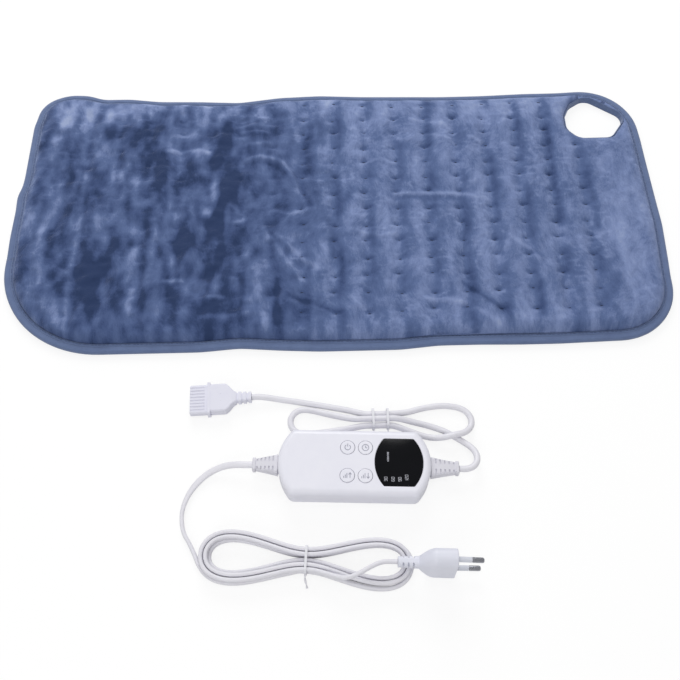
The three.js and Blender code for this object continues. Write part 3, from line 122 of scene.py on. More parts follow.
def rounded_rectangle(width: float, depth: float, radius: float, count: int = 6) -> Array:
    """Draws a rectangle about the origin with four equal rounded corners."""
    x, y = width / 2, depth / 2
    return rounded_outline(rectangle(-x, -y, x, y), [radius] * 4, 0, count)


def barrel_outline(length: float, depth: float, bow: float, corner: float, inset: float = 0,
                   corner_steps: int = 8, end_steps: int = 20) -> Array:
    """Draws a box with bowed ends.

    Args:
        length: over the bowed ends.
        depth: over the two straight sides.
        bow: radius of each end.
        corner: radius of the fillet between a side and an end.
        inset: how far the outline moves inwards.
        corner_steps: steps in each fillet.
        end_steps: steps in each bowed end.
    Returns: the outline's points, anticlockwise.
    """
    bow_x = length / 2 - bow
    fillet_y = depth / 2 - corner
    fillet_x = bow_x + math.sqrt((bow - corner) ** 2 - fillet_y ** 2)
    meeting = math.atan2(fillet_y, fillet_x - bow_x)
    end = (
        arc((fillet_x, -fillet_y), corner - inset, -math.pi / 2, -meeting, corner_steps)
        + arc((bow_x, 0), bow - inset, -meeting, meeting, end_steps)[1:-1]
        + arc((fillet_x, fillet_y), corner - inset, meeting, math.pi / 2, corner_steps)
    )
    return np.array(end + [(-x, -y) for x, y in end])


def smooth_route(route: list, spacing: float = 1.6, span_steps: int = 24) -> Array:
    """Runs a centripetal Catmull-Rom curve through a route and respaces it evenly.

    Args:
        route: the points that the curve passes through.
        spacing: about how far apart the new points are.
        span_steps: steps worked out between two points of the route.
    Returns: the points from the route's start to its end.
    """
    knots = np.array(route, float)
    knots = np.vstack([2 * knots[0] - knots[1], knots, 2 * knots[-1] - knots[-2]])
    pieces = []
    for a, b, c, d in zip(knots, knots[1:], knots[2:], knots[3:]):
        before, here, after = (math.sqrt(np.linalg.norm(q - p)) for p, q in ((a, b), (b, c), (c, d)))
        leave = ((b - a) / before - (c - a) / (before + here) + (c - b) / here) * here
        arrive = ((c - b) / here - (d - b) / (here + after) + (d - c) / after) * here
        t = np.linspace(0, 1, span_steps, endpoint=False)[:, None]
        pieces.append(
            b + leave * t + (3 * (c - b) - 2 * leave - arrive) * t ** 2
            + (2 * (b - c) + leave + arrive) * t ** 3
        )
    return respaced(np.vstack(pieces + [knots[-2:-1]]), spacing)


def respaced(points: Array, spacing: float) -> Array:
    """Spreads points evenly along the line that they draw."""
    gaps = np.linalg.norm(np.diff(points, axis=0), axis=1)
    along = np.concatenate([[0], np.cumsum(gaps)])
    marks = np.linspace(0, along[-1], max(2, round(along[-1] / spacing)) + 1)
    return np.column_stack([np.interp(marks, along, column) for column in points.T])


def path_length(points: Array) -> float:
    """Measures a line of points, in its own unit."""
    return float(np.linalg.norm(np.diff(points, axis=0), axis=1).sum())


@dataclass(frozen=True)
class Placement:
    """Where a group of pieces stands: tilted about Y, leaned about X, turned about Z, then moved."""

    at: tuple = (0, 0, 0)
    turn: float = 0
    lean: float = 0
    tilt: float = 0
    within: "Placement | None" = None

    @property
    def matrix(self) -> Matrix:
        """The placement in millimetres."""
        own = Matrix.Translation(self.at)
        for angle, axis in ((self.turn, "Z"), (self.lean, "X"), (self.tilt, "Y")):
            own = own @ Matrix.Rotation(math.radians(angle), 4, axis)
        return self.within.matrix @ own if self.within else own

    def moved(self, points: Array) -> Array:
        """Carries points of the group into the part's frame."""
        matrix = np.array(self.matrix)
        return np.asarray(points, float) @ matrix[:3, :3].T + matrix[:3, 3]


# Meshes

def sections(points: Array, section: Array, turns: Array) -> list:
    """Sets a section across a line at each of its points.

    Args:
        points: the line.
        section: the section's points as (thickness way, width way).
        turns: how far the section is turned about the line at each point, in radians.
    Returns: one ring of points for each point of the line.
    """
    along = np.gradient(points, axis=0)
    along /= np.linalg.norm(along, axis=1)[:, None]
    side = np.cross(along, (0, 0, 1))
    side /= np.linalg.norm(side, axis=1)[:, None]
    lift = np.cross(side, along)
    cos, sin = np.cos(turns)[:, None], np.sin(turns)[:, None]
    thin, wide = lift * cos + side * sin, side * cos - lift * sin
    return [
        point + section[:, :1] * thin[index] + section[:, 1:] * wide[index]
        for index, point in enumerate(points)
    ]


def ring_of(count: int) -> Array:
    """Lists points round a circle of radius 1."""
    angles = np.arange(count) * 2 * np.pi / count
    return np.column_stack([np.cos(angles), np.sin(angles)])


def superellipse(thickness: float, width: float, power: float = 2, count: int = 16) -> Array:
    """Draws a flat or round section as (thickness way, width way)."""
    angles = (np.arange(count) + 0.5) * 2 * np.pi / count
    cos, sin = np.cos(angles), np.sin(angles)
    return np.column_stack([
        np.sign(cos) * np.abs(cos) ** (2 / power) * thickness / 2,
        np.sign(sin) * np.abs(sin) ** (2 / power) * width / 2,
    ])


def level(outline: Array, z: float) -> Array:
    """Lays an outline at a height."""
    return np.column_stack([outline, np.full(len(outline), z)])


def upright(outline: Array, x: float) -> Array:
    """Stands an outline across the X axis."""
    return np.column_stack([np.full(len(outline), x), outline])


@dataclass
class Solid:
    """The points and faces of a piece while it is made, in millimetres."""

    points: list = field(default_factory=list)
    faces: list = field(default_factory=list)

    def loft(self, rings: list, closed: bool = False) -> "Solid":
        """Adds a body through rings with equal counts of points.

        Args:
            rings: the rings in order.
            closed: joins the last ring to the first, in place of two end faces.
        Returns: the solid itself.
        """
        base, count = len(self.points), len(rings[0])
        self.points += [tuple(point) for ring in rings for point in ring]
        pairs = [(index, (index + 1) % len(rings)) for index in range(len(rings) - (not closed))]
        self.faces += [
            (base + a * count + i, base + a * count + (i + 1) % count,
             base + b * count + (i + 1) % count, base + b * count + i)
            for a, b in pairs for i in range(count)
        ]
        if not closed:
            last = base + (len(rings) - 1) * count
            self.faces += [tuple(range(base + count - 1, base - 1, -1)), tuple(range(last, last + count))]
        return self

    def turned(self, profile: list, centre: tuple = (0, 0), count: int = 40) -> "Solid":
        """Adds a body turned about an upright axis from (radius, height) rows, closed at both ends."""
        return self.loft([level(ring_of(count) * radius + centre, z) for radius, z in profile])

    def made(self, name: str, material: Finish, place: Placement = Placement(),
             crease: float = CREASE) -> Piece:
        """Makes the piece.

        Args:
            name: the piece's name.
            material: its finish.
            place: where its group stands.
            crease: the angle in degrees past which an edge stays sharp.
        Returns: the object, at the origin, with its faces outward.
        """
        mesh = bpy.data.meshes.new(name)
        mesh.from_pydata((place.moved(np.array(self.points)) * MM).tolist(), [], self.faces)
        mesh.materials.append(material)
        form = bmesh.new()
        form.from_mesh(mesh)
        bmesh.ops.remove_doubles(form, verts=form.verts, dist=SAME_POINT)
        bmesh.ops.recalc_face_normals(form, faces=form.faces)
        form.to_mesh(mesh)
        form.free()
        return shown(mesh, name, crease)


def linked(name: str, data) -> Piece:
    """Puts a mesh, a lamp or a camera into the scene."""
    thing = bpy.data.objects.new(name, data)
    bpy.context.scene.collection.objects.link(thing)
    return thing


def shown(mesh: bpy.types.Mesh, name: str, crease: float = CREASE) -> Piece:
    """Links a mesh as an object, shaded smooth up to an angle in degrees."""
    mesh.shade_smooth()
    mesh.set_sharp_from_angle(angle=math.radians(crease))
    return linked(name, mesh)


def corners_of(thing: Piece) -> Array:
    """Lists the points of a piece's mesh in metres."""
    return np.array([vertex.co[:] for vertex in thing.data.vertices])


def carry(thing: Piece, name: str, values: Array) -> None:
    """Gives each point of a piece a number or a vector that its finish or its nodes read."""
    kind, key = ("FLOAT", "value") if values.ndim == 1 else ("FLOAT_VECTOR", "vector")
    layer = thing.data.attributes.new(name, kind, "POINT")
    layer.data.foreach_set(key, values.astype(np.float32).ravel())


def baked(thing: Piece, crease: float = CREASE) -> Piece:
    """Turns an object's modifiers into its mesh and removes them."""
    bpy.context.view_layer.update()
    mesh = bpy.data.meshes.new_from_object(thing.evaluated_get(bpy.context.evaluated_depsgraph_get()))
    thing.modifiers.clear()
    thing.data = mesh
    mesh.shade_smooth()
    mesh.set_sharp_from_angle(angle=math.radians(crease))
    return thing


def carved(thing: Piece, cutters: list, edge: float = 0, steps: int = 2) -> Piece:
    """Cuts other bodies out of a piece and rounds its edges.

    Args:
        thing: the piece.
        cutters: bodies to cut away, which are deleted.
        edge: width of the rounding in millimetres, or 0 for none.
        steps: faces across a rounded edge.
    Returns: the piece.
    """
    for cutter in cutters:
        cut = thing.modifiers.new("cut", "BOOLEAN")
        cut.operation, cut.solver, cut.object = "DIFFERENCE", "EXACT", cutter
    if edge:
        bevel = thing.modifiers.new("edge", "BEVEL")
        bevel.width, bevel.segments, bevel.limit_method = edge * MM, steps, "ANGLE"
        bevel.angle_limit, bevel.use_clamp_overlap = math.radians(BEVEL_ANGLE), True
    baked(thing)
    for cutter in cutters:
        bpy.data.objects.remove(cutter)
    # Large flat faces keep level shading up to their rounded edges.
    thing.modifiers.new("even", "WEIGHTED_NORMAL").keep_sharp = True
    thing.data = bpy.data.meshes.new_from_object(thing.evaluated_get(bpy.context.evaluated_depsgraph_get()))
    thing.modifiers.clear()
    return thing


# Finishes

def linear(code: str) -> tuple:
    """Turns an sRGB hex colour into a linear one with full alpha."""
    shares = [int(code[start:start + 2], 16) / 255 for start in (1, 3, 5)]
    return (*(s / 12.92 if s <= 0.04045 else ((s + 0.055) / 1.055) ** 2.4 for s in shares), 1)


def fill(node: bpy.types.Node, inputs: dict) -> None:
    """Sets a node's inputs, by name or number, to values or to other nodes' outputs."""
    for key, value in inputs.items():
        if isinstance(value, bpy.types.NodeSocket):
            node.id_data.links.new(value, node.inputs[key])
        else:
            node.inputs[key].default_value = value


def add_node(tree: Tree, kind: str, inputs: dict | None = None, **settings) -> bpy.types.Node:
    """Adds a node with its settings and links.

    Args:
        tree: the node tree.
        kind: the node's type.
        inputs: a value, or another node's output, for each input by name or number.
        settings: the node's own properties.
    Returns: the node.
    """
    node = tree.nodes.new(kind)
    for name, value in settings.items():
        setattr(node, name, value)
    fill(node, inputs or {})
    return node


def maths(tree: Tree, operation: str, *values):
    """Returns the outcome of a sum of numbers or outputs."""
    return add_node(tree, "ShaderNodeMath", dict(enumerate(values)), operation=operation).outputs[0]


def spread_about(tree: Tree, share, middle: float, less: float, more: float):
    """Returns a value that runs from a little below a middle to a little above it."""
    ends = {"Value": share, "To Min": middle - less, "To Max": middle + more}
    return add_node(tree, "ShaderNodeMapRange", ends).outputs[0]


def empty_tree(owner) -> Tree:
    """Gives a material or a world an empty node tree."""
    owner.use_nodes = True
    owner.node_tree.nodes.clear()
    return owner.node_tree


def new_material(name: str) -> tuple:
    """Starts a material with a bare surface and returns it with its tree, surface and object coordinates."""
    material = bpy.data.materials.new(name)
    tree = empty_tree(material)
    surface = add_node(tree, "ShaderNodeBsdfPrincipled")
    add_node(tree, "ShaderNodeOutputMaterial", {"Surface": surface.outputs[0]})
    where = add_node(tree, "ShaderNodeTexCoord").outputs["Object"]
    return material, tree, surface, where


def grain(tree: Tree, where, size: float, stretch: tuple = (1, 1, 1), detail: float = 2):
    """Returns the value of a noise whose grains are so many millimetres wide."""
    spread = add_node(tree, "ShaderNodeMapping", {"Vector": where, "Scale": stretch}).outputs[0]
    inputs = {"Vector": spread, "Scale": 1 / (size * MM), "Detail": detail, "Roughness": 0.6}
    return add_node(tree, "ShaderNodeTexNoise", inputs).outputs["Fac"]


def mixed(tree: Tree, share, first, second):
    """Returns a colour between two colours, each a hex code or an output."""
    first, second = (linear(c) if isinstance(c, str) else c for c in (first, second))
    return add_node(tree, "ShaderNodeMix", {0: share, 6: first, 7: second}, data_type="RGBA").outputs[2]


def relief(tree: Tree, height, depth: float, under=None):
    """Returns the normal of a bumpy surface whose bumps are so many millimetres deep."""
    inputs = {"Height": height, "Distance": depth * MM, "Strength": 1}
    if under is not None:
        inputs["Normal"] = under
    return add_node(tree, "ShaderNodeBump", inputs).outputs[0]


@dataclass(frozen=True)
class Moulded:
    """A moulded plastic or rubber, with the fine skin that its mould leaves."""

    name: str
    light: str
    dark: str
    roughness: float = 0.4
    ior: float = 1.5
    skin: float = 0.5
    skin_depth: float = 0.012
    coat: float = 0
    coat_roughness: float = 0.12
    cloud: float = 14
    spread: float = 0.05

    def build(self) -> Finish:
        """Makes the material: its colour drifts in wide clouds, and its gloss varies with its skin."""
        material, tree, surface, where = new_material(self.name)
        cloud = grain(tree, where, self.cloud)
        skin = grain(tree, where, self.skin)
        fill(surface, {
            "Base Color": mixed(tree, cloud, self.dark, self.light),
            "Roughness": spread_about(tree, skin, self.roughness, self.spread, self.spread),
            "Normal": relief(tree, skin, self.skin_depth),
            "IOR": self.ior, "Coat Weight": self.coat, "Coat Roughness": self.coat_roughness,
        })
        return material


@dataclass(frozen=True)
class Metal:
    """A drawn or rolled metal, whose fine marks run one way and spread its gloss."""

    name: str
    light: str
    dark: str
    roughness: float = 0.28
    marks: tuple = (0.15, 1, 1)
    mark_width: float = 0.35
    mark_depth: float = 0.004
    cloud: float = 5
    spread: tuple = (0.1, 0.12)

    def build(self) -> Finish:
        """Makes the material."""
        material, tree, surface, where = new_material(self.name)
        marks = grain(tree, where, self.mark_width, self.marks)
        fill(surface, {
            "Base Color": mixed(tree, grain(tree, where, self.cloud), self.dark, self.light),
            "Roughness": spread_about(tree, marks, self.roughness, *self.spread),
            "Normal": relief(tree, marks, self.mark_depth), "Metallic": 1,
        })
        return material


@dataclass(frozen=True)
class Woven:
    """A plain-woven cloth or tape: threads over and under, which catch the light in fine rows."""

    name: str
    light: str
    dark: str
    thread: float = 0.8
    depth: float = 0.12
    coordinate: str = ""
    waver: float = 0.4
    # How far the colour darkens where the weave sinks between the threads: painted shade.
    shade: float = 0.35
    patch: float = 9
    patch_depth: float = 0.5
    roughness: float = 0.8
    sheen: tuple = (0.35, 0.4)

    def build(self) -> Finish:
        """Makes the material, on the piece's own coordinate where it has one."""
        material, tree, surface, where = new_material(self.name)
        cloth = where
        if self.coordinate:
            cloth = add_node(tree, "ShaderNodeAttribute", attribute_name=self.coordinate).outputs["Vector"]
        across = []
        for turn in (0, math.pi / 2):
            lay = add_node(tree, "ShaderNodeMapping", {"Vector": cloth, "Rotation": (0, 0, turn)}).outputs[0]
            across.append(add_node(tree, "ShaderNodeTexWave", {
                "Vector": lay, "Scale": WAVE_SCALE / (self.thread * MM), "Distortion": self.waver,
            }).outputs["Fac"])
        weave = maths(tree, "MULTIPLY", *across)
        worn = grain(tree, where, self.patch, detail=5)
        tone = mixed(tree, worn, self.dark, self.light)
        # The weave's sunken rows take the darker colour: painted shade between the threads.
        between = mixed(tree, self.shade, tone, self.dark)
        fill(surface, {
            "Base Color": mixed(tree, weave, between, tone),
            "Normal": relief(tree, weave, self.depth, relief(tree, worn, self.patch_depth)),
            "Roughness": self.roughness, "Sheen Weight": self.sheen[0], "Sheen Roughness": self.sheen[1],
        })
        return material


@dataclass(frozen=True)
class CrushedPile:
    """Polyester velour with a brushed pile, light where it lies flat and dark where it stands up; its colour
    also carries the painted shade and light that the cover hands it.
    """

    name: str = "polyester velour, crushed pile"
    deep: str = "#2c3c60"
    low: str = "#40517a"
    middle: str = "#586a94"
    light: str = "#8090ba"
    lightest: str = "#97a5c8"
    glow: str = "#b9c4e2"
    stops: tuple = (0.2, 0.5, 0.78)
    # Pile tufts are near 0.3 mm across; they are drawn at about 1 mm so that they show in the picture.
    streak: float = 1.3
    lock: float = 5
    tuft: float = 0.9
    weights: tuple = (0.22, 0.42, 0.2)
    depths: tuple = (0.35, 0.9)
    roughness: float = 0.95
    specular: float = 0.2
    sheen: tuple = (0.6, 0.35)

    def build(self) -> Finish:
        """Makes the material; the piece carries how its pile lies, with painted shade and light added, and the
        pile's run as comb.
        """
        material, tree, surface, where = new_material(self.name)
        nap = add_node(tree, "ShaderNodeAttribute", attribute_name="nap").outputs["Fac"]
        comb = add_node(tree, "ShaderNodeAttribute", attribute_name="comb").outputs["Vector"]
        streaks = grain(tree, comb, self.streak, (1, 0.35, 1), 4)
        locks = grain(tree, comb, self.lock, (1, 0.6, 1), 4)
        tufts = grain(tree, where, self.tuft, detail=3)
        value = nap
        for part, weight in zip((streaks, locks, tufts), self.weights):
            value = maths(tree, "MULTIPLY_ADD", maths(tree, "ADD", part, -0.5), weight, value)
        ramp = add_node(tree, "ShaderNodeValToRGB", {"Fac": value})
        stops = ramp.color_ramp.elements
        for share, code in zip(self.stops, (self.low, self.middle, self.light)):
            stops.new(share).color = linear(code)
        stops[0].color, stops[len(stops) - 1].color = linear(self.deep), linear(self.lightest)
        fine, coarse = self.depths
        fill(surface, {
            "Base Color": ramp.outputs[0],
            "Normal": relief(tree, maths(tree, "ADD", streaks, tufts), fine, relief(tree, locks, coarse)),
            "Roughness": self.roughness, "Specular IOR Level": self.specular,
            "Sheen Weight": self.sheen[0], "Sheen Roughness": self.sheen[1], "Sheen Tint": linear(self.glow),
        })
        return material


@dataclass(frozen=True)
class Felt:
    """Needled polyester felt: short fibres lying every way, which leave a dull mottled face."""

    name: str = "needled polyester felt"
    light: str = "#e2dfd6"
    dark: str = "#b9b5aa"
    fibre: float = 1.2
    depth: float = 0.3
    sheen: float = 0.3

    def build(self) -> Finish:
        """Makes the material."""
        material, tree, surface, where = new_material(self.name)
        fibres = grain(tree, where, self.fibre, (0.4, 1.6, 1), 6)
        fill(surface, {
            "Base Color": mixed(tree, fibres, self.dark, self.light),
            "Normal": relief(tree, fibres, self.depth), "Roughness": 1, "Sheen Weight": self.sheen,
        })
        return material


@dataclass(frozen=True)
class PaintedGlow:
    """A mark on the smoked window with a faint glow of painted light."""

    name: str
    colour: str
    strength: float
    roughness: float = 0.5

    def build(self) -> Finish:
        """Makes the material."""
        material, _, surface, _ = new_material(self.name)
        colour = linear(self.colour)
        fill(surface, {"Base Color": colour, "Emission Color": colour, "Emission Strength": self.strength,
                       "Roughness": self.roughness})
        return material


class Finishes:
    """Every material of the set, by the piece that shows it."""

    def __init__(self) -> None:
        # A brushed face that goes pale or dark with the way its pile lies, and with the painted shade and light
        # that the cover carries.
        self.pile = CrushedPile().build()
        # Filament yarn in a close plain weave: dull, with fine rows.
        self.backing = Woven("polyester backing, plain weave", "#5b6c92", "#3f4f74", 1.0, 0.15).build()
        # Narrow-loom tape, folded and stitched down: cross ribs and a slight gloss.
        self.tape = Woven("polyester binding tape, woven", "#7386ad", "#56678e", 1.1, 0.2, "tape").build()
        self.thread = Moulded(
            "polyester sewing thread, spun", "#55658a", "#3c4a6c", 0.7, 1.5, 0.3, 0.05).build()
        self.dark_thread = Moulded("polyester quilting thread, spun", "#1d2740", "#141c30", 0.8).build()
        self.felt = Felt().build()
        self.insulation = Moulded("silicone rubber, extruded", "#cdb58f", "#b59a72", 0.5, 1.41).build()
        # Satin housing plastic from a spark-eroded mould: nearly white, with soft wide highlights.
        self.case = Moulded(
            "ABS, injection moulded", "#eeeef6", "#e6e6f1", 0.38, 1.53, 0.45, 0.006, 0.1).build()
        # Softer vinyl: a little duller than the casing, with the same cool white.
        self.flex = Moulded("flexible PVC, injection moulded", "#e0dfe7", "#d6d5de", 0.48, 1.53).build()
        self.cord = Moulded("flexible PVC, extruded", "#eae9ef", "#dfdee6", 0.42, 1.53, 0.9).build()
        self.shell = Moulded("rigid PVC, injection moulded", "#e6e6f1", "#dcdcea", 0.4, 1.53).build()
        self.plug = Moulded("PVC plug body, injection moulded", "#e6e7f2", "#dcdeea", 0.42, 1.53).build()
        self.sleeve = Moulded("nylon pin sleeve, moulded", "#d9dbe4", "#cdd0da", 0.4).build()
        self.tie = Moulded("PVC twist tie, laminated", "#e9e9ee", "#dfdfe6", 0.45).build()
        self.nylon = Moulded("nylon 66, moulded black", "#25262a", "#1b1c1f", 0.5, 1.53, 0.4, 0.02).build()
        # Its clear skin mirrors less than plain acrylic does, as the window looks black in any light.
        self.window = Moulded("smoked acrylic, polished", "#0d0e13", "#08090c", 0.15, 1.25, 0.5, 0.0005).build()
        self.ink = Moulded("screen-printing ink, cured", "#a3a4b2", "#9899a8", 0.6, 1.5, 0.3).build()
        # The display's ticks and printed legend glow faintly: painted light.
        self.glowing = PaintedGlow("lit display segment", "#b9bac4", 0.2).build()
        self.glowing_legend = PaintedGlow("display legend, printed", "#a9aab2", 0.12).build()
        board = "FR-4 glass-epoxy laminate, pressed"
        self.laminate = Moulded(board, "#2f7045", "#235837", 0.35, 1.55, 0.9).build()
        self.steel = Metal("steel, nickel plated", "#c6c8cd", "#a9abb2").build()
        self.pin = Metal("brass pins, nickel plated", "#b9bbc2", "#9899a2", 0.25).build()
        self.brass = Metal("brass, rolled strip", "#d3b06d", "#b08c4a", 0.3).build()


# Repeated pieces

class Repeats:
    """Sets one small shape at each of a row of places with a Geometry Nodes tree."""

    def __init__(self) -> None:
        tree = bpy.data.node_groups.new("repeat a shape", "GeometryNodeTree")
        made = [
            tree.interface.new_socket(name=name, in_out="INPUT", socket_type=kind)
            for name, kind in (
                ("Places", "NodeSocketGeometry"), ("Shape", "NodeSocketObject"),
                ("Material", "NodeSocketMaterial"),
            )
        ]
        tree.interface.new_socket(name="Shapes", in_out="OUTPUT", socket_type="NodeSocketGeometry")
        given = add_node(tree, "NodeGroupInput").outputs
        turn = add_node(tree, "GeometryNodeInputNamedAttribute", {"Name": "turn"}, data_type="FLOAT_VECTOR")
        shape = add_node(tree, "GeometryNodeObjectInfo", {"Object": given["Shape"]}).outputs["Geometry"]
        spin = add_node(tree, "FunctionNodeEulerToRotation", {"Euler": turn.outputs["Attribute"]}).outputs[0]
        copies = add_node(tree, "GeometryNodeInstanceOnPoints", {
            "Points": given["Places"], "Instance": shape, "Rotation": spin,
        }).outputs[0]
        real = add_node(tree, "GeometryNodeRealizeInstances", {"Geometry": copies}).outputs[0]
        dressed = add_node(tree, "GeometryNodeSetMaterial", {"Geometry": real, "Material": given["Material"]})
        add_node(tree, "NodeGroupOutput", {0: dressed.outputs[0]})
        self.tree, self.shape_input, self.material_input = tree, made[1].identifier, made[2].identifier

    def made(self, name: str, shape: Piece, places: Array, turns: Array,
             material: Finish) -> Piece:
        """Makes the row of shapes.

        Args:
            name: the piece's name.
            shape: the shape, about the origin, which is deleted.
            places: a point in millimetres for each copy.
            turns: each copy's turn about X, Y and Z in radians.
            material: the finish of all copies.
        Returns: the piece, as one mesh.
        """
        mesh = bpy.data.meshes.new(name)
        mesh.from_pydata((np.asarray(places) * MM).tolist(), [], [])
        thing = shown(mesh, name)
        carry(thing, "turn", np.asarray(turns))
        nodes = thing.modifiers.new("copies", "NODES")
        nodes.node_group = self.tree
        nodes[self.shape_input] = shape
        nodes[self.material_input] = material
        baked(thing)
        bpy.data.objects.remove(shape)
        return thing


def pill(length: float, width: float, height: float, material: Finish) -> Piece:
    """Makes a stitch or bead along X about the origin, with rounded ends."""
    shares = np.linspace(0, math.pi, 6)[1:-1]
    rings = [upright(superellipse(width, height, 2, 8) * math.sin(share) ** 0.5, -length / 2 * math.cos(share))
             for share in shares]
    return Solid().loft(rings).made("pill", material, crease=80)


def block(low: tuple, high: tuple, material: Finish,
          place: Placement = Placement()) -> Piece:
    """Makes a plain cutting block between two corners."""
    ring = rectangle(*low[:2], *high[:2])
    return Solid().loft([level(ring, z) for z in (low[2], high[2])]).made("block", material, place)


def strokes(lines: list, width: float, low: float, high: float) -> Solid:
    """Lays flat printed strokes along lines of (x, y) points between two heights."""
    mark, middle = Solid(), (low + high) / 2
    half, rise = width / 2, (high - low) / 2
    section = np.array([(-rise, -half), (-rise, half), (rise, half), (rise, -half)])
    for line in lines:
        points = level(np.array(line, float), middle)
        mark.loft(sections(points, section, np.zeros(len(points))))
    return mark


def attached(thing: Piece, nodes: tuple = (), body: str = ROOT) -> Piece:
    """Sets a piece on its body and in place of its CAD nodes."""
    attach(thing, body)
    if nodes:
        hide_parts(*nodes)
    return thing


# The controller

class Symbol(Enum):
    """What a button's printed mark says."""

    POWER = "power"
    CLOCK = "clock"
    HOTTER = "hotter"
    COOLER = "cooler"

    def lines(self, size: float) -> list:
        """Draws the mark's strokes about the origin, within a radius.

        Each mark is drawn in shares of its size: an open ring with a stroke, a ring with two hands,
        or an arrow beside three rising bars.
        """
        if self is Symbol.POWER:
            gap, top = 0.6, math.pi / 2
            drawn = [arc((0, 0), 0.72, top + gap, top + 2 * math.pi - gap, 20), [(0, 0.2), (0, 1)]]
        elif self is Symbol.CLOCK:
            drawn = [arc((0, 0), 0.85, 0, 2 * math.pi - 0.02, 24), [(0, 0.5), (0, 0), (0.42, -0.1)]]
        else:
            way = 1 if self is Symbol.HOTTER else -1
            head = [(0.35, way * 0.25), (0.7, way * 0.75), (1.05, way * 0.25)]
            stem = [(0.7, -way * 0.7), (0.7, way * 0.6)]
            bars = [[(x, -0.7), (x, top)] for x, top in ((-0.9, -0.2), (-0.5, 0.2), (-0.1, 0.6))]
            drawn = [head, stem, *bars]
        return [[(x * size, y * size) for x, y in line] for line in drawn]


@dataclass
class Button:
    """A round push button with its printed mark."""

    name: str
    at: tuple
    symbol: Symbol
    radius: float = 5.5
    top: float = 21.4
    edge: float = 0.5
    dish_radius: float = 3.6
    dish: float = 0.2
    flange_radius: float = 6.7
    flange: tuple = (16.9, 18.3)
    stem_radius: float = 1.6
    stem_bottom: float = 13.2
    mark_size: float = 3
    mark_stroke: float = 0.5
    mark_rise: float = 0.04
    mark_foot: float = 0.24
    crease: float = 50

    def cap(self, looks: Finishes, place: Placement) -> Piece:
        """Makes the cap, its flange and its stem."""
        low, high = self.flange
        radius, edge, top = self.radius, self.edge, self.top
        rounding = [(radius - edge * inwards, top - edge * back) for inwards, back in quarter(5)]
        dish = [(self.dish_radius * share, top - self.dish * (1 - share ** 2))
                for share in (1, 0.75, 0.5, 0.1)]
        profile = [
            (self.stem_radius, self.stem_bottom), (self.stem_radius, low), (self.flange_radius, low),
            (self.flange_radius, high), (self.radius, high), *rounding, *dish,
        ]
        cap = Solid().turned(profile, self.at, 56)
        return cap.made(f"{self.name}_cap", looks.case, place, self.crease)

    def mark(self, looks: Finishes, place: Placement) -> Piece:
        """Makes the mark printed in the cap's dish."""
        lines = [[(x + self.at[0], y + self.at[1]) for x, y in line]
                 for line in self.symbol.lines(self.mark_size)]
        ink = strokes(lines, self.mark_stroke, self.top - self.mark_foot, self.top + self.mark_rise)
        return ink.made(f"{self.name}_mark", looks.ink, place)


@dataclass
class StrainRelief:
    """The ribbed boot where a cord leaves the controller."""

    name: str
    length: float
    turn: float
    node: str
    wall_span: float = 3.24
    flange: tuple = (16, 11, 2)
    neck: tuple = (12.4, 8.4)
    base: tuple = (15.5, 10.5)
    tip: tuple = (9.2, 6.6)
    collar: float = 2.4
    collar_rise: float = 0.7
    corner: float = 2
    slot_rows: int = 5
    slot_width: float = 1.1
    slot_margin: float = 2.2
    slot_depth: float = 1.1
    core: float = 4.2
    rim: float = 0.9
    gap: float = 0.3
    swell: float = 0.9
    swell_steps: int = 5
    tip_chamfer: float = 0.5
    slot_edge: float = 0.22
    overrun: float = 8

    def made(self, looks: Finishes, place: Placement, end: float, height: float) -> Piece:
        """Makes the boot with its slots.

        Args:
            looks: the set's materials.
            place: where the controller stands.
            end: how far the casing's end lies from its middle.
            height: the cord's height.
        Returns: the piece.
        """
        whole = Placement((end * math.cos(self.turn), 0, height), math.degrees(self.turn), within=place)

        def section(x: float, size: tuple) -> Array:
            """Draws the boot across its length."""
            return upright(rounded_rectangle(size[0], size[1], self.corner), x)

        start = self.length - self.collar
        fat = (self.tip[0] + 2 * self.collar_rise, self.tip[1] + 2 * self.collar_rise)
        swell = [(share, tuple(b + (t - b) * share ** self.swell for b, t in zip(self.base, self.tip)))
                 for share in np.linspace(0, 1, self.swell_steps)]
        rings = [
            section(-self.wall_span - self.flange[2], self.flange), section(-self.wall_span, self.flange),
            section(-self.wall_span, self.neck), section(self.gap, self.neck),
            *(section(self.gap + (start - self.gap) * share, size) for share, size in swell),
            section(start, fat), section(self.length - self.tip_chamfer, fat),
            section(self.length, tuple(size - 2 * self.tip_chamfer for size in fat)),
        ]
        boot = Solid().loft(rings).made(f"{self.name}_boot", looks.flex, whole)
        pitch = (start - self.slot_margin) / self.slot_rows
        cutters = []
        for row in range(self.slot_rows):
            x = self.slot_margin + (row + 0.5) * pitch
            reach = (self.base[0] + (self.tip[0] - self.base[0]) * x / start) / 2 - self.rim
            web = (self.base[1] + (self.tip[1] - self.base[1]) * x / start) / 2 - self.slot_depth
            for low, high in ((self.core / 2, reach), (-reach, -self.core / 2)):
                cutters += [block((x - self.slot_width / 2, low, bottom), (x + self.slot_width / 2, high, top),
                                  looks.flex, whole)
                            for bottom, top in ((web, self.overrun), (-self.overrun, -web))]
        return attached(carved(boot, cutters, self.slot_edge), (self.node,))


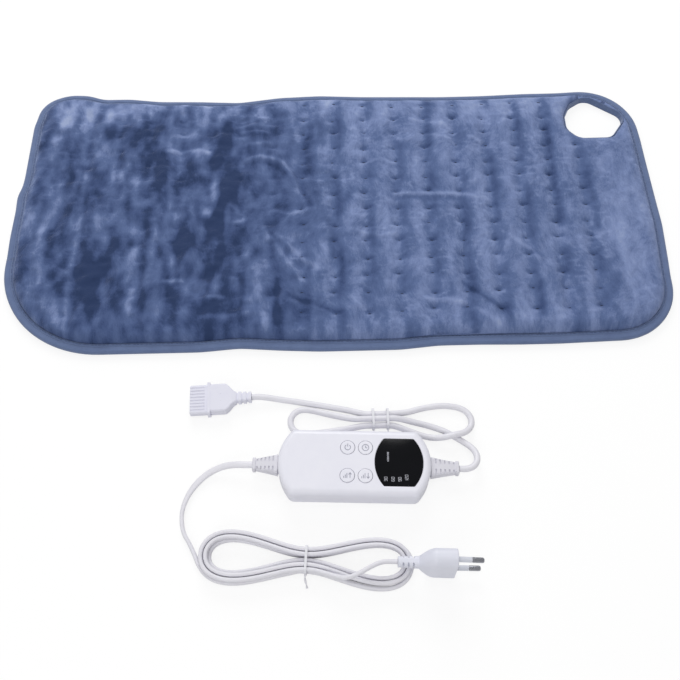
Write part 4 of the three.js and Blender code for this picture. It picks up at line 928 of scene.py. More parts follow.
@dataclass
class Controller:
    """The hand-held controller: a two-part casing with a smoked window and four buttons."""

    looks: Finishes
    place: Placement = Placement((7.2, -253.4, 0), -2.6)
    size: tuple = (118, 53, 21)
    bow: float = 38
    corner: float = 6
    wall: float = 2
    floor: float = 1.8
    roof_bottom: float = 18.6
    split: float = 9
    seam: float = 0.4
    gap: float = 0.3
    crown: tuple = (5, 4.5)
    foot: tuple = (1.6, 2.2)
    window: tuple = (37, 38, 29, 1.4)
    window_x: float = 34
    window_thickness: float = 1.3
    ledge: float = 3
    cord_height: float = 9.15
    neck: tuple = (6.5, 4.5)
    edge: float = 0.3
    overrun: float = 5
    screw_at: tuple = (42, 19.6)
    screw_head: tuple = (2.4, 0.5, 2.1)
    screw_chamfer: float = 0.35
    screw_shank: tuple = (1.2, 11.8)
    screw_tip: tuple = (0.4, 13)
    screw_cross: tuple = (1.5, 0.3, 0.8)
    recess: tuple = (2.7, 2.4)
    glass_rim: tuple = ((0, 0.3), (0.1, 0.1), (0.35, 0))
    print_heights: tuple = (-0.02, 0.05)
    ticks_at: tuple = (24.9, 26.3, 0.8, 7.9)
    tick: tuple = (1, 0.4)
    time_marks: tuple = ((24.9, "30"), (30.3, "60"), (35.5, "90"), (40.7, "120"))
    time_y: float = -15.2
    digit: tuple = (1.3, 2.2)
    digit_pitch: float = 1.9
    digit_stroke: float = 0.3
    boots: tuple = (("mains", 20, math.pi), ("lead", 22, 0.0))
    buttons: tuple = (
        Button("power", (-5.35, 11.3), Symbol.POWER),
        Button("timer", (8.35, 11.3), Symbol.CLOCK),
        Button("heat_up", (-5.35, -11.3), Symbol.HOTTER),
        Button("heat_down", (8.35, -11.3), Symbol.COOLER),
    )

    def outline(self, inset: float = 0) -> Array:
        """Draws the casing's outline, so far inside its edge."""
        return barrel_outline(self.size[0], self.size[1], self.bow, self.corner, inset)

    def prism(self, outline: Array, low: float, high: float) -> Piece:
        """Makes a straight-sided body between two heights."""
        body = Solid().loft([level(outline, low), level(outline, high)])
        return body.made("prism", self.looks.case, self.place)

    def peg(self, at: tuple, radius: float, low: float, high: float) -> Piece:
        """Makes a round body between two heights."""
        body = Solid().turned([(radius, low), (radius, high)], at, 48)
        return body.made("peg", self.looks.case, self.place)

    def necks(self) -> list:
        """Makes the bodies that open the casing for the two boots."""
        inner, (half, rise) = self.size[0] / 2 - 2 * self.wall, self.neck
        low, high = self.cord_height - rise, self.cord_height + rise
        return [
            block((side * inner, -half, low), (side * self.size[0], half, high), self.looks.case, self.place)
            for side in (1, -1)
        ]

    def glass_outline(self, growth: float = 0) -> Array:
        """Draws the window's outline, grown so far."""
        length, depth, bow, corner = self.window
        return barrel_outline(length, depth, bow, corner + max(0, -growth), -growth) + (self.window_x, 0)

    def top(self) -> Piece:
        """Makes the upper shell, with its crowned edge, its window recess and its button holes."""
        inset, drop = self.crown
        height = self.size[2]
        rings = [level(self.outline(), self.split + self.seam)]
        rings += [level(self.outline(inset * inwards), height - drop * back) for inwards, back in quarter(10)]
        shell = Solid().loft(rings).made("top_housing", self.looks.case, self.place)
        floor = height - self.window_thickness
        cutters = [
            self.prism(self.outline(self.wall), 0, self.roof_bottom),
            self.prism(self.glass_outline(self.gap), floor, height + self.overrun),
            self.prism(self.glass_outline(-self.ledge), self.overrun, height + self.overrun),
            *(self.peg(button.at, button.radius + self.gap, self.overrun, height + self.overrun)
              for button in self.buttons),
            *self.necks(),
        ]
        return attached(carved(shell, cutters, self.edge), ("top_shell",))

    def bottom(self) -> Piece:
        """Makes the lower shell, with its rounded foot and its screw recesses."""
        inset, rise = self.foot
        rings = [level(self.outline(inset * back), rise * inwards) for inwards, back in quarter(6)]
        rings.append(level(self.outline(), self.split))
        shell = Solid().loft(rings).made("bottom_housing", self.looks.case, self.place)
        radius, depth = self.recess
        cutters = [self.prism(self.outline(self.wall), self.floor, self.size[2])]
        cutters += [self.peg(at, radius, -self.overrun, depth) for at in self.screw_places()] + self.necks()
        return attached(carved(shell, cutters, self.edge), ("bottom_shell",))

    def screw_places(self) -> list:
        """Lists where the four screws stand."""
        x, y = self.screw_at
        return [tuple(corner) for corner in rectangle(-x, -y, x, y)]

    def screws(self, repeats: Repeats) -> Piece:
        """Makes the four screws under the casing, each with a crossed slot."""
        radius, low, high = self.screw_head
        shank = self.screw_shank
        head = [(0.8 * radius, low), (radius, low + self.screw_chamfer), (radius, high), (shank[0], high),
                shank, self.screw_tip]
        shape = Solid().turned(head, (0, 0), 24).made("screw", self.looks.steel)
        reach, half, depth = self.screw_cross
        cutters = [block(tuple(-c for c in corner), corner, self.looks.steel)
                   for corner in ((reach, half, low + depth), (half, reach, low + depth))]
        carved(shape, cutters)
        places = self.place.moved(np.array([(*at, 0) for at in self.screw_places()]))
        turns = [(0, 0, 0.4 + index) for index in range(len(places))]
        screws = repeats.made("housing_screws", shape, places, np.array(turns), self.looks.steel)
        return attached(screws, tuple(f"case_screw_{index}" for index in range(1, 5)))

    def glass(self) -> Piece:
        """Makes the smoked window."""
        height = self.size[2]
        rings = [level(self.glass_outline(), height - self.window_thickness + self.gap)]
        rings += [level(self.glass_outline(-inset), height - drop) for inset, drop in self.glass_rim]
        glass = Solid().loft(rings).made("window", self.looks.window, self.place)
        return attached(glass, ("display_lens",))

    def legends(self) -> list:
        """Makes the row of level ticks and the four small printed time marks on the window, both with a faint
        glow of painted light.
        """
        low, high = (self.size[2] + rise for rise in self.print_heights)
        left, right, first, last = self.ticks_at
        pitch, width = self.tick
        ticks = [[(left, y), (right, y)] for y in np.arange(first, last, pitch)]
        bar = strokes(ticks, width, low, high).made("window_bar", self.looks.glowing, self.place)
        lines = []
        for x, digits in self.time_marks:
            for index, digit in enumerate(digits):
                start = self.time_y + index * self.digit_pitch
                lines += [[(x - v, start + u) for u, v in line] for line in digit_lines(digit, *self.digit)]
        marks = strokes(lines, self.digit_stroke, low, high).made("window_marks", self.looks.glowing_legend, self.place)
        return [attached(thing) for thing in (bar, marks)]

    def build(self, repeats: Repeats) -> None:
        """Makes every piece of the controller."""
        self.top()
        self.bottom()
        self.glass()
        self.legends()
        self.screws(repeats)
        for button in self.buttons:
            body = f"{button.name}_button_body"
            cap = button.cap(self.looks, self.place)
            attached(cap, (f"{button.name}_button",), body)
            attached(button.mark(self.looks, self.place), (), body)
        end = self.size[0] / 2
        for name, length, turn in self.boots:
            StrainRelief(name, length, turn, f"{name}_strain_relief").made(
                self.looks, self.place, end, self.cord_height)
        LOG.info("controller with %d buttons", len(self.buttons))


def digit_lines(digit: str, width: float, height: float) -> list:
    """Draws a plain digit from straight strokes, from its lower left corner."""
    corners = {"a": (0, 1), "b": (1, 1), "c": (0, 0.5), "d": (1, 0.5), "e": (0, 0), "f": (1, 0)}
    paths = {"0": "abfeca", "1": "bdf", "2": "abdcef", "3": "abdcdfe", "6": "bacefdc", "9": "dcabdfe"}
    line = [(corners[corner][0] * width, corners[corner][1] * height) for corner in paths[digit]]
    return [[start, end] for start, end in zip(line, line[1:])]


# The lead's connector

@dataclass
class Connector:
    """The lead's connector: ribbed relief, tapering shoulder, body, flange and grooved nose."""

    looks: Finishes
    place: Placement = Placement((-74.5, -190, 5), 182.4)
    stations: tuple = (12.3, 21.6, 33.3, 35.6, 49.9)
    cord_end: float = 7.6
    neck: tuple = (9.4, 8)
    body: tuple = (24.5, 9.6)
    flange: tuple = (28, 10)
    nose: tuple = (25.5, 6.4)
    corner: float = 1.6
    rings: int = 3
    # Where a ring and the dip behind it start and end, as a share of their pitch, and how far the dip goes.
    ring_profile: tuple = ((0, 0), (0.6, 0), (0.62, 1), (0.99, 1))
    ring_dip: float = 0.7
    grooves: int = 8
    groove: tuple = (12, 1.2, 0.5)
    contact_pitch: float = 5.4
    contacts: int = 4
    slot: tuple = (10, 3.2, 2.2)
    least_flat: float = 0.3
    shoulder_steps: int = 9
    chamfer: float = 0.4
    edge: float = 0.2
    overrun: float = 1
    bead: tuple = (1.3, 1.1, 0.5)
    bead_at: tuple = (3, 3.2)
    nub_insets: tuple = (1.2, 3.4)
    nub_sink: float = 0.1

    def build(self) -> Piece:
        """Makes the connector's shell."""
        relieved, shouldered, bodied, flanged, end = self.stations

        def section(x: float, wide: float, thick: float) -> Array:
            """Draws the connector across its length."""
            return upright(rounded_rectangle(wide, thick, min(self.corner, thick / 2 - self.least_flat)), x)

        rings = []
        pitch = relieved / self.rings
        for index in range(self.rings):
            share = (index + 0.5) / self.rings
            wide, thick = (self.cord_end + (size - self.cord_end) * share for size in self.neck)
            for along, dip in self.ring_profile:
                lower = 2 * self.ring_dip * dip
                rings.append(section((index + along) * pitch, wide - lower, thick - lower))
        for share in np.linspace(0, 1, self.shoulder_steps):
            wide = self.neck[0] + (self.body[0] - self.neck[0]) * smoothstep(share)
            thick = self.neck[1] + (self.body[1] - self.neck[1]) * min(1, 2 * share)
            rings.append(section(relieved + (shouldered - relieved) * share, wide, thick))
        rings += [
            section(bodied, *self.body), section(bodied + FACE_STEP, *self.flange),
            section(flanged, *self.flange), section(flanged + FACE_STEP, *self.nose),
            section(end - self.chamfer, *self.nose),
            section(end, *(size - 2 * self.chamfer for size in self.nose)),
        ]
        shell = Solid().loft(rings).made("connector_shell", self.looks.shell, self.place)
        length, width, depth = self.groove
        spread, over = (self.nose[0] - 2 * self.corner) / self.grooves, end + self.overrun
        cutters = []
        for index in range(self.grooves):
            y = (index - (self.grooves - 1) / 2) * spread
            for side in (1, -1):
                low, high = sorted((side * (self.nose[1] / 2 - depth), side * self.nose[1]))
                cutters.append(block((end - length, y - width / 2, low), (over, y + width / 2, high),
                                     self.looks.shell, self.place))
        for index in range(self.contacts):
            y = (index - (self.contacts - 1) / 2) * self.contact_pitch
            reach, half, rise = self.slot[0], self.slot[1] / 2, self.slot[2] / 2
            cutters.append(block((end - reach, y - half, -rise), (over, y + half, rise),
                                 self.looks.shell, self.place))
        return attached(carved(shell, cutters, self.edge), ("connector_body",))

    def beads(self, repeats: Repeats) -> Piece:
        """Makes the small moulded beads on the body and the flange's nubs."""
        _, shouldered, bodied, flanged, _ = self.stations
        along, apart = self.bead_at
        spots = [(shouldered + along, side * apart, self.body[1] / 2) for side in (-1, 1)]
        middle, top = (bodied + flanged) / 2, self.flange[1] / 2 - self.nub_sink
        spots += [(middle, side * (self.flange[0] / 2 - inset), top)
                  for inset in self.nub_insets for side in (1, -1)]
        shape = pill(*self.bead, self.looks.shell)
        turns = [(0, 0, math.radians(self.place.turn))] * len(spots)
        places = self.place.moved(np.array(spots))
        beads = repeats.made("connector_beads", shape, places, np.array(turns), self.looks.shell)
        return attached(beads)


# The mains plug

@dataclass
class Plug:
    """The flat two-pin mains plug, lying on its edge with its slotted relief behind it."""

    looks: Finishes
    place: Placement = Placement((36, -329.4, 17.75), -3.3, -5)
    stations: tuple = (13, 15, 27.5, 42)
    relief: tuple = (7, 8.5)
    neck: tuple = (8, 9, 3)
    body: tuple = (13.7, 35.3, 6.4)
    face_round: float = 0.8
    slot_rows: int = 3
    slot_width: float = 1.1
    slot_margin: float = 2
    core: float = 3.6
    pin_spacing: float = 19
    tip_spacing: float = 17.5
    pin_length: float = 19
    pin_radius: float = 2
    core_radius: float = 1.3
    sleeve: float = 10
    root: float = 4
    tip_round: float = 1.4
    gap: float = 0.3
    flare_steps: int = 12
    edge: float = 0.25
    overrun: float = 9
    bore_overrun: float = 2
    sleeve_chamfer: float = 0.2
    least_tip: float = 0.02

    def shell(self) -> Piece:
        """Makes the plug's body with its relief."""
        neck, flare, body, face = self.stations

        def section(x: float, thick: float, wide: float, corner: float) -> Array:
            """Draws the plug across its length."""
            return upright(rounded_rectangle(thick, wide, corner, 8), x)

        rings = [section(0, *self.relief, self.neck[2]), section(neck, *self.neck), section(flare, *self.neck)]
        for share in np.linspace(0, 1, self.flare_steps + 1)[1:]:
            rise = math.sin(share * math.pi / 2)
            size = [low + (high - low) * rise for low, high in zip(self.neck, self.body)]
            rings.append(section(flare + (body - flare) * share, *size))
        thick, wide, corner = self.body
        for inwards, back in quarter(4):
            inset = self.face_round * inwards
            rings.append(section(face - self.face_round * back, thick - 2 * inset, wide - 2 * inset,
                                 corner - inset))
        shell = Solid().loft(rings).made("plug_shell", self.looks.plug, self.place)
        pitch = (neck - self.slot_margin) / self.slot_rows
        cutters = []
        for row in range(self.slot_rows):
            x = self.slot_margin + (row + 0.5) * pitch
            half, out = self.slot_width / 2, self.overrun
            for low, high in ((self.core / 2, out), (-out, -self.core / 2)):
                cutters.append(block((x - half, low, -out), (x + half, high, out),
                                     self.looks.plug, self.place))
        radius = self.core_radius + self.gap
        for side in (1, -1):
            bore = Solid().turned([(radius, -self.root - self.gap), (radius, self.bore_overrun)], count=24)
            cutters.append(bore.made("bore", self.looks.plug, self.pin_place(side)))
        return attached(carved(shell, cutters, self.edge), ("plug_body",))

    def pin_place(self, side: int) -> Placement:
        """Finds where a pin stands on the plug's face, leaning to the other one."""
        lean = math.degrees(math.atan2((self.pin_spacing - self.tip_spacing) / 2, self.pin_length))
        at = (self.stations[3], 0, side * self.pin_spacing / 2)
        return Placement(at, tilt=90 + side * lean, within=self.place)

    def pins(self) -> list:
        """Makes both pins and both sleeves."""
        shoulder = self.gap + self.sleeve + self.gap
        length, radius, tip = self.pin_length, self.pin_radius, self.tip_round
        nose = [(radius - tip * inwards, length - tip * back)
                for inwards, back in quarter(7, math.pi / 2 - self.least_tip)]
        pin = [(self.core_radius, -self.root), (self.core_radius, shoulder), (radius, shoulder), *nose]
        inner, top = self.core_radius + self.gap, self.gap + self.sleeve
        circle, cut = ring_of(32), self.sleeve_chamfer
        tube = [(inner, self.gap), (radius - cut, self.gap), (radius, self.gap + cut), (radius, top - cut),
                (radius - cut, top), (inner, top)]
        made = []
        for index, side in enumerate((1, -1), 1):
            place = self.pin_place(side)
            metal = Solid().turned(pin, count=32).made(f"mains_pin_{index}", self.looks.pin, place)
            sleeve = Solid().loft([level(circle * r, z) for r, z in tube], closed=True).made(
                f"mains_pin_sleeve_{index}", self.looks.sleeve, place)
            made += [attached(metal, (f"plug_pin_{index}",)),
                     attached(sleeve, (f"pin_sleeve_{index}",))]
        return made


# The cords

@dataclass
class TwistTie:
    """A twist tie round strands that run along X, with its twisted end lying outwards."""

    name: str
    node: str
    at: tuple
    inner: tuple
    end: float
    turn: float = 0
    band: float = 1.9
    thickness: float = 0.8
    corner: float = 2
    end_width: float = 1.7
    spacing: float = 0.35
    crease: float = 60

    def made(self, looks: Finishes) -> Piece:
        """Makes the band and its twisted end."""
        place = Placement(self.at, self.turn)
        half, outer = self.band / 2, [size + 2 * self.thickness for size in self.inner]
        around = rounded_rectangle(*outer, self.corner + self.thickness)
        within = rounded_rectangle(*self.inner, self.corner)
        tie = Solid().loft([upright(around, -half), upright(around, half), upright(within, half),
                            upright(within, -half)], closed=True)
        edge, drop = -outer[0] / 2, self.end_width - self.at[2]
        route = [(0, edge + self.thickness / 2, 0), (0, edge - self.end / 3, drop / 3),
                 (half, edge - self.end * 2 / 3, drop * 2 / 3), (self.band, edge - self.end, drop)]
        points = smooth_route(route, self.spacing)
        flat = superellipse(self.thickness, self.end_width, 4, 12)
        tie.loft(sections(points, flat, np.linspace(0, 2 * math.pi, len(points))))
        return attached(tie.made(self.name, looks.tie, place, self.crease), (self.node,))


@dataclass
class Cord:
    """A free cord along its whole route."""

    name: str
    points: Array
    section: Array
    turns: Array
    nodes: tuple
    diameter: float
    far_end: str
    stiffness: str
    crease: float = 60

    def made(self, material: Finish, pieces: list) -> Piece:
        """Makes the cord and says how long it is.

        Args:
            material: its finish.
            pieces: what it carries; not used.
        Returns: the cord.
        """
        tube = Solid().loft(sections(self.points, self.section, self.turns))
        cord = attached(tube.made(self.name, material, crease=self.crease), self.nodes)
        length = path_length(self.points) * MM
        LOG.info("%s is %.3f m long", self.name, length)
        return cord


@dataclass
class MainsHank:
    """The mains cord's hank: four loops that spiral in, climb a layer and spiral out again, on edge."""

    at: tuple = (-30.6, -323, 0)
    turn: float = -4.2
    half_length: float = 79
    waist: float = 8.33
    lobe: float = 36
    loops: int = 4
    rounding: float = 0.25
    pitch: float = 3.7
    rise: float = 5.7
    width: float = 5.2
    climb: float = 0.5
    tie_lift: float = 1.4
    tie_reach: float = 25
    loop_steps: int = 240
    probe: float = 0.001

    def outline(self, angle: Array) -> Array:
        """Draws the outermost loop, drawn in at its waist."""
        swell = np.hypot(np.sin(angle), self.rounding) - self.rounding
        out = self.waist + self.lobe * swell
        return np.column_stack([self.half_length * np.sin(angle), -np.cos(angle) * out])

    def points(self) -> Array:
        """Lists the hank's points in its own frame."""
        loops = np.linspace(0, self.loops, self.loop_steps * self.loops + 1)
        angle = 2 * np.pi * loops
        forward = self.outline(angle + self.probe) - self.outline(angle - self.probe)
        forward /= np.linalg.norm(forward, axis=1)[:, None]
        inward = self.pitch * np.minimum(loops, self.loops - loops)[:, None]
        flat = self.outline(angle) + np.column_stack([-forward[:, 1], forward[:, 0]]) * inward
        half = self.loops / 2
        climb = smoothstep((loops - half + self.climb / 2) / self.climb)
        lift = self.tie_lift * np.exp(-(flat[:, 0] / self.tie_reach) ** 2)
        return np.column_stack([flat, self.width / 2 + self.rise * climb + lift])


CORD_SPACING = 1.6
MAINS_SECTION = (3.2, 5.2)
MAINS_SQUARENESS = 2.6
# Where along its first run the flat cord starts to turn on edge, and over how long, as shares of the run.
MAINS_TURN = (0.15, 0.3)
LEAD_DIAMETER = 5

# Routes of the free cords, as they lie in the photograph.
MAINS_RUN = [
    (-72, -249.8, 9.15), (-77.2, -249.6, 9.15), (-84, -249.1, 8.6), (-93.8, -249.2, 6), (-104, -252.4, 3.7),
    (-113, -259, 2.5), (-121.2, -270.5, 2.5), (-125.2, -284.7, 2.7), (-123.2, -299, 2.7),
    (-117.6, -309.3, 2.6), (-113.2, -318, 2.6), (-109.9, -325, 2.6), (-105.3, -331.1, 2.6),
    (-98.6, -335.5, 2.6), (-89.5, -337.9, 2.6), (-78.2, -338.1, 2.7), (-65.2, -336.3, 2.9),
    (-51, -333.6, 3.4), (-41.5, -331.9, 3.8), (-36.6, -331.05, 4), (-31.5, -331.28, 4),
]
MAINS_TAIL = [
    (0.3, -8.33, 9.7), (5.5, -8.45, 9.7), (14, -10.4, 11.2), (23, -12.9, 13), (29, -13.9, 14.4),
    (34, -12.9, 15.3), (40, -10.1, 16.1), (46, -6.6, 16.8), (52, -3.5, 17.4), (57, -1.9, 17.7),
    (61.4, -1.6, 17.75), (66.55, -1.51, 17.75),
]
LEAD_RUN = [
    (-74.2, -189.99, 5), (-69.2, -189.78, 5), (-62, -190.3, 4.3), (-51.4, -191.8, 3), (-39, -193.8, 2.5),
    (-26.4, -196.2, 2.5), (-11, -199.3, 2.5), (4.7, -203, 2.8), (13, -205.6, 3.5), (18.7, -207.1, 3.9),
    (23.7, -207.1, 3.9),
]
LEAD_HANK = [
    (24, -207.1, 3.9), (29, -207.1, 3.9), (35.6, -207.1, 3.9), (50.5, -205.8, 2.6), (66.4, -202.1, 2.5),
    (80.4, -200.6, 2.5), (88, -201.3, 2.5), (94.4, -202.9, 2.5), (99.8, -206.2, 2.5), (102.9, -211.4, 2.6),
    (103, -217.5, 3), (100, -222.7, 4.3), (95, -226.2, 6.3), (88.2, -228.2, 8), (80.3, -229.4, 6.4),
    (72.5, -229.1, 4.2), (64.4, -227, 2.9), (49.5, -220.9, 2.9), (43.5, -218.6, 3.4), (38.6, -217.4, 3.8),
    (34, -217.1, 3.9), (24, -217.1, 3.9), (17, -217.1, 3.9), (4, -218.8, 2.8), (-14, -221.1, 2.5),
    (-24, -222.1, 2.5), (-32.4, -222.1, 2.5), (-37.6, -220.7, 2.5), (-41.4, -216.9, 2.5),
    (-42.8, -211.7, 2.5), (-41.4, -206.5, 2.5), (-37.6, -202.7, 2.5), (-32.4, -201.3, 2.5),
    (-25.5, -202.1, 2.5), (-17.5, -204.3, 2.7), (-7.9, -207.2, 3.2), (7, -211.2, 5), (17, -212.1, 6.3),
    (24, -212.1, 6.3), (30.6, -212.1, 6.3), (35.6, -212.1, 6.3),
]
LEAD_TAIL = [
    (35.9, -212.1, 6.3), (40.9, -212.1, 6.3), (46.5, -212.6, 5.3), (55.3, -214.4, 3.4), (70.3, -218.6, 2.5),
    (81.5, -223.3, 2.5), (89.5, -228.6, 2.5), (95.7, -233.1, 2.8), (100.4, -237.5, 3.9), (103.3, -242.6, 5.4),
    (103.9, -247.5, 6.8), (102.5, -252.2, 8), (98.8, -255.95, 8.9), (93.5, -257.37, 9.15),
    (88.5, -257.15, 9.15),
]


def mains_cord() -> Cord:
    """Lays out the flat mains cord from the controller through its hank to the plug."""
    hank = MainsHank()
    place = Placement(hank.at, hank.turn)
    run = smooth_route(MAINS_RUN)
    rest = np.vstack([place.moved(hank.points()), place.moved(smooth_route(MAINS_TAIL))])
    rest = respaced(rest, CORD_SPACING)
    start, span = MAINS_TURN
    share = (np.linspace(0, 1, len(run)) - start) / span
    turns = np.concatenate([math.pi / 2 * smoothstep(share), np.full(len(rest), math.pi / 2)])
    section = superellipse(*MAINS_SECTION, MAINS_SQUARENESS)
    return Cord("mains_cord", np.vstack([run, rest]), section, turns,
                ("mains_cord_run", "mains_cord_hank", "mains_cord_tail"), MAINS_SECTION[1], "plug", "medium")


def lead_cord() -> Cord:
    """Lays out the round lead from the controller through its hank to the connector."""
    parts = [smooth_route(route)[::-1] for route in (LEAD_TAIL, LEAD_HANK, LEAD_RUN)]
    points = respaced(np.vstack(parts), CORD_SPACING)
    section = superellipse(LEAD_DIAMETER, LEAD_DIAMETER)
    return Cord("lead_cord", points, section, np.zeros(len(points)),
                ("lead_cord_run", "lead_cord_hank", "lead_cord_tail"), LEAD_DIAMETER, "connector", "medium")


TIES = (
    TwistTie("lead_twist_tie_1", "lead_tie_1", (24, -212.1, 5.1), (15.6, 8), 5.5),
    TwistTie("lead_twist_tie_2", "lead_tie_2", (35.6, -212.1, 5.1), (15.6, 8), 6),
    TwistTie("mains_twist_tie", "mains_tie", (-30.67, -323.92, 6.85), (18.7, 11.5), 9, -4.2),
)


# The pad

# How far the real pad's edge lies outside the plain outline, by place (x, y, outward).
EDGE_SHIFTS = (
    (-264, 155, 8), (-249, 153, 7), (-233, 146, 1), (-207, 146, 1), (-177, 146, -3.3), (-136, 146, -4.4),
    (-95, 146, -6.8), (-55, 146, -0.9), (-14, 146, 0.8), (27, 146, -1.7), (68, 146, -2.7), (108, 146, -3.8),
    (150, 146, -3.4), (191, 146, -1.7), (232, 146, -1.4), (270, 138, 0.7), (300, 80, 1), (300, 55, 0.5),
    (300, 0, 0), (300, -24, 0), (300, -63, -3.2), (300, -84, -5.3), (268, -136, -3), (233, -146, -2.4),
    (186, -146, -0.9), (152, -146, -0.9), (118, -146, -1.7), (84, -146, -1.7), (50, -146, 1.5),
    (-18, -146, 1.5), (-52, -146, -0.3), (-86, -146, -3.1), (-119, -146, -0.3), (-200, -146, -0.3),
    (-270, -118, 0), (-300, -69, -0.5), (-300, -47, -1.2), (-300, -25, 0), (-300, 9, 0), (-300, 19, 0.9),
    (-300, 26, 1), (-300, 32, -1.6), (-300, 45, -2.3), (-300, 122, -1), (-299, 136, 3.9), (-290, 146, 7),
)

# Patches where the pile lies light or dark, as (x, y, half width, half depth, tone).
PATCHES = (
    (-250, 124, 34, 20, 0.34), (-190, 130, 12, 8, 0.3), (-155, 130, 12, 8, 0.3), (-125, 131, 10, 8, 0.28),
    (-95, 130, 12, 8, 0.28), (-30, 130, 34, 9, 0.16), (-148, 90, 7, 7, 0.25), (-125, 105, 6, 12, 0.3),
    (-120, -5, 6, 5, 0.45), (-182, 30, 7, 7, 0.25), (-175, 10, 5, 6, 0.25), (-205, 40, 8, 8, 0.22),
    (-125, 75, 6, 8, 0.2), (-150, -10, 7, 6, 0.22), (-220, 95, 11, 11, -0.25), (-248, 50, 7, 14, -0.22),
    (-255, -20, 6, 12, -0.2), (-252, -85, 7, 11, -0.25), (-190, 85, 8, 12, -0.25), (-165, 40, 9, 17, -0.3),
    (-214, -72, 17, 46, -0.3), (-140, -40, 14, 17, -0.35), (-110, -25, 9, 17, -0.35),
    (-120, -110, 11, 8, -0.25), (-98, 30, 9, 22, -0.2), (-22, 45, 7, 14, -0.25), (-38, -110, 8, 9, -0.2),
    (37, 78, 9, 9, -0.12), (268, -25, 26, 85, 0.1), (256, -65, 8, 40, 0.12), (285, -20, 6, 62, 0.1),
    (150, 118, 60, 14, 0.05),
)

# Folds, streaks and creases of the pile, as (width, lift, tone, then the points of the line).
# Their tone follows their lift: painted light along the ridges and painted shade in the creases.
FOLDS = (
    (6, 0.9, 0.3, (-264, 112), (-268, 60), (-263, 10), (-268, -40), (-264, -85), (-250, -108)),
    (2.5, 0.6, 0.22, (-237, 40), (-234, -10), (-237, -60), (-235, -125)),
    (5, 0.9, 0.3, (-181, -48), (-183, -80), (-180, -112)), (4, 0.6, 0.3, (-255, -83), (-240, -70)),
    (6, 0.8, 0.22, (-66, -62), (-68, -95), (-64, -128)), (2, 0.7, 0.4, (-153, -81), (-138, -80)),
    (2, 0.6, 0.35, (-113, -99), (-101, -98)), (2.5, 0.7, 0.3, (-160, 67), (-140, 69), (-121, 66)),
    (2.5, 0.7, 0.35, (-95, -18), (-85, -14)), (3, 0.8, 0.3, (-118, -117), (-98, -118), (-80, -115)),
    (5, -0.5, -0.3, (-106, 95), (-104, 40), (-107, 0), (-106, -35)), (3, -0.8, -0.3, (-54, -80), (-55, -125)),
    (2.5, 1.2, 0.16, (-75, 108), (-65, 109), (-55, 107)), (2.5, 1.2, 0.16, (-95, 97), (-78, 99), (-60, 97)),
    (2.2, 1.1, 0.16, (-90, 90), (-76, 91), (-62, 88)), (2.5, 1.2, 0.16, (-86, 75), (-65, 76)),
    (3, 1.8, 0.26, (-90, 52), (-72, 60), (-50, 50), (-40, 30), (-32, 10), (-28, -5)),
    (3.5, -0.7, -0.24, (-66, 52), (-47, 40), (-34, 22), (-25, 0)),
    (2.5, 1.2, 0.2, (-68, -25), (-50, -55), (-38, -72), (-30, -85)),
    (2.5, 1.1, 0.18, (-60, -28), (-45, -45), (-30, -62), (-15, -72)),
    (2.3, 1.0, 0.18, (-60, -5), (-45, -10), (-32, -8)),
    (2.5, -0.9, -0.24, (-40, -100), (-20, -107), (0, -115)), (4, -0.4, -0.16, (62, 75), (62, 30)),
    (4, -0.4, -0.14, (61, -5), (60, -20)), (4, -0.4, -0.14, (119, 30), (118, 0)),
    (4, -0.4, -0.14, (117, -25), (116, -60)), (3, -0.3, -0.12, (148, 0), (147, -20)),
    (3.5, -0.6, -0.24, (208, 95), (206, 40), (204, -25)), (4, -0.3, -0.16, (240, 40), (238, -30)),
    (5, -0.3, -0.16, (243, -70), (240, -100)), (3.5, -0.4, -0.24, (176, -90), (174, -120)),
    (4, -0.3, -0.18, (15, 20), (0, -10)), (3, -0.3, -0.16, (4, -60), (1, -85)),
    (2.2, 1.1, 0.2, (55, 12), (85, 11), (120, 10), (130, 4)), (2.6, -0.5, -0.14, (57, 7), (85, 6), (118, 5)),
    (2, -1.0, -0.26, (108, -87), (122, -100), (132, -108), (140, -115)),
    (2.5, 1.0, 0.2, (75, -104), (105, -108), (122, -118), (135, -130)),
    (2.2, 0.9, 0.16, (75, 104), (105, 98), (118, 85)), (2.2, 0.8, 0.14, (90, 84), (108, 80), (118, 70)),
    (2.2, 0.8, 0.14, (130, 80), (145, 72)), (2.2, -0.7, -0.16, (195, -65), (200, -75), (196, -90)),
    (2.2, 0.8, 0.14, (155, -40), (170, -52), (178, -65)), (1.8, -0.6, -0.2, (203, 111), (206, 118)),
    (2.2, 0.9, 0.14, (20, -30), (38, -36), (52, -34)), (2.2, 0.8, 0.12, (24, 48), (40, 54), (54, 50)),
)


@dataclass(frozen=True)
class Dimple:
    """A soft mark on the cover beside a tuft or a column of tufts.

    It lies so far aside and back, falls off over so many millimetres each way, and adds lift and tone; the tone
    is painted shade where it is below zero and painted light where it is above.
    """

    aside: float
    wide: float
    lift: float
    tone: float
    back: float = 0
    deep: float = math.inf

    def strength(self, across: Array, back: Array | float = 0) -> Array:
        """Says how strong the mark is so far from its tuft or column."""
        return hump(across - self.aside, self.wide) * hump(back - self.back, self.deep)


# A tuft's stitched slit and the dent round it, which carry painted shade, and the brow in front of it, which
# carries painted light.
SLIT = Dimple(0, 3.6, -2.3, -0.26, 0.5, 1.6)
BROW = Dimple(-0.5, 5, 0.5, 0.12, -2.9, 1.8)
DENT = Dimple(0, 9, -0.9, -0.05, 0, 7)
# A column's groove, the band of painted shade to its right and the band of painted light to its left.
GROOVE = Dimple(0, 6, -1.7, 0)
PAINTED_SHADE_BAND = Dimple(5, 4.5, 0, -0.3)
PAINTED_LIGHT_BAND = Dimple(-8, 6, 0, 0.07)
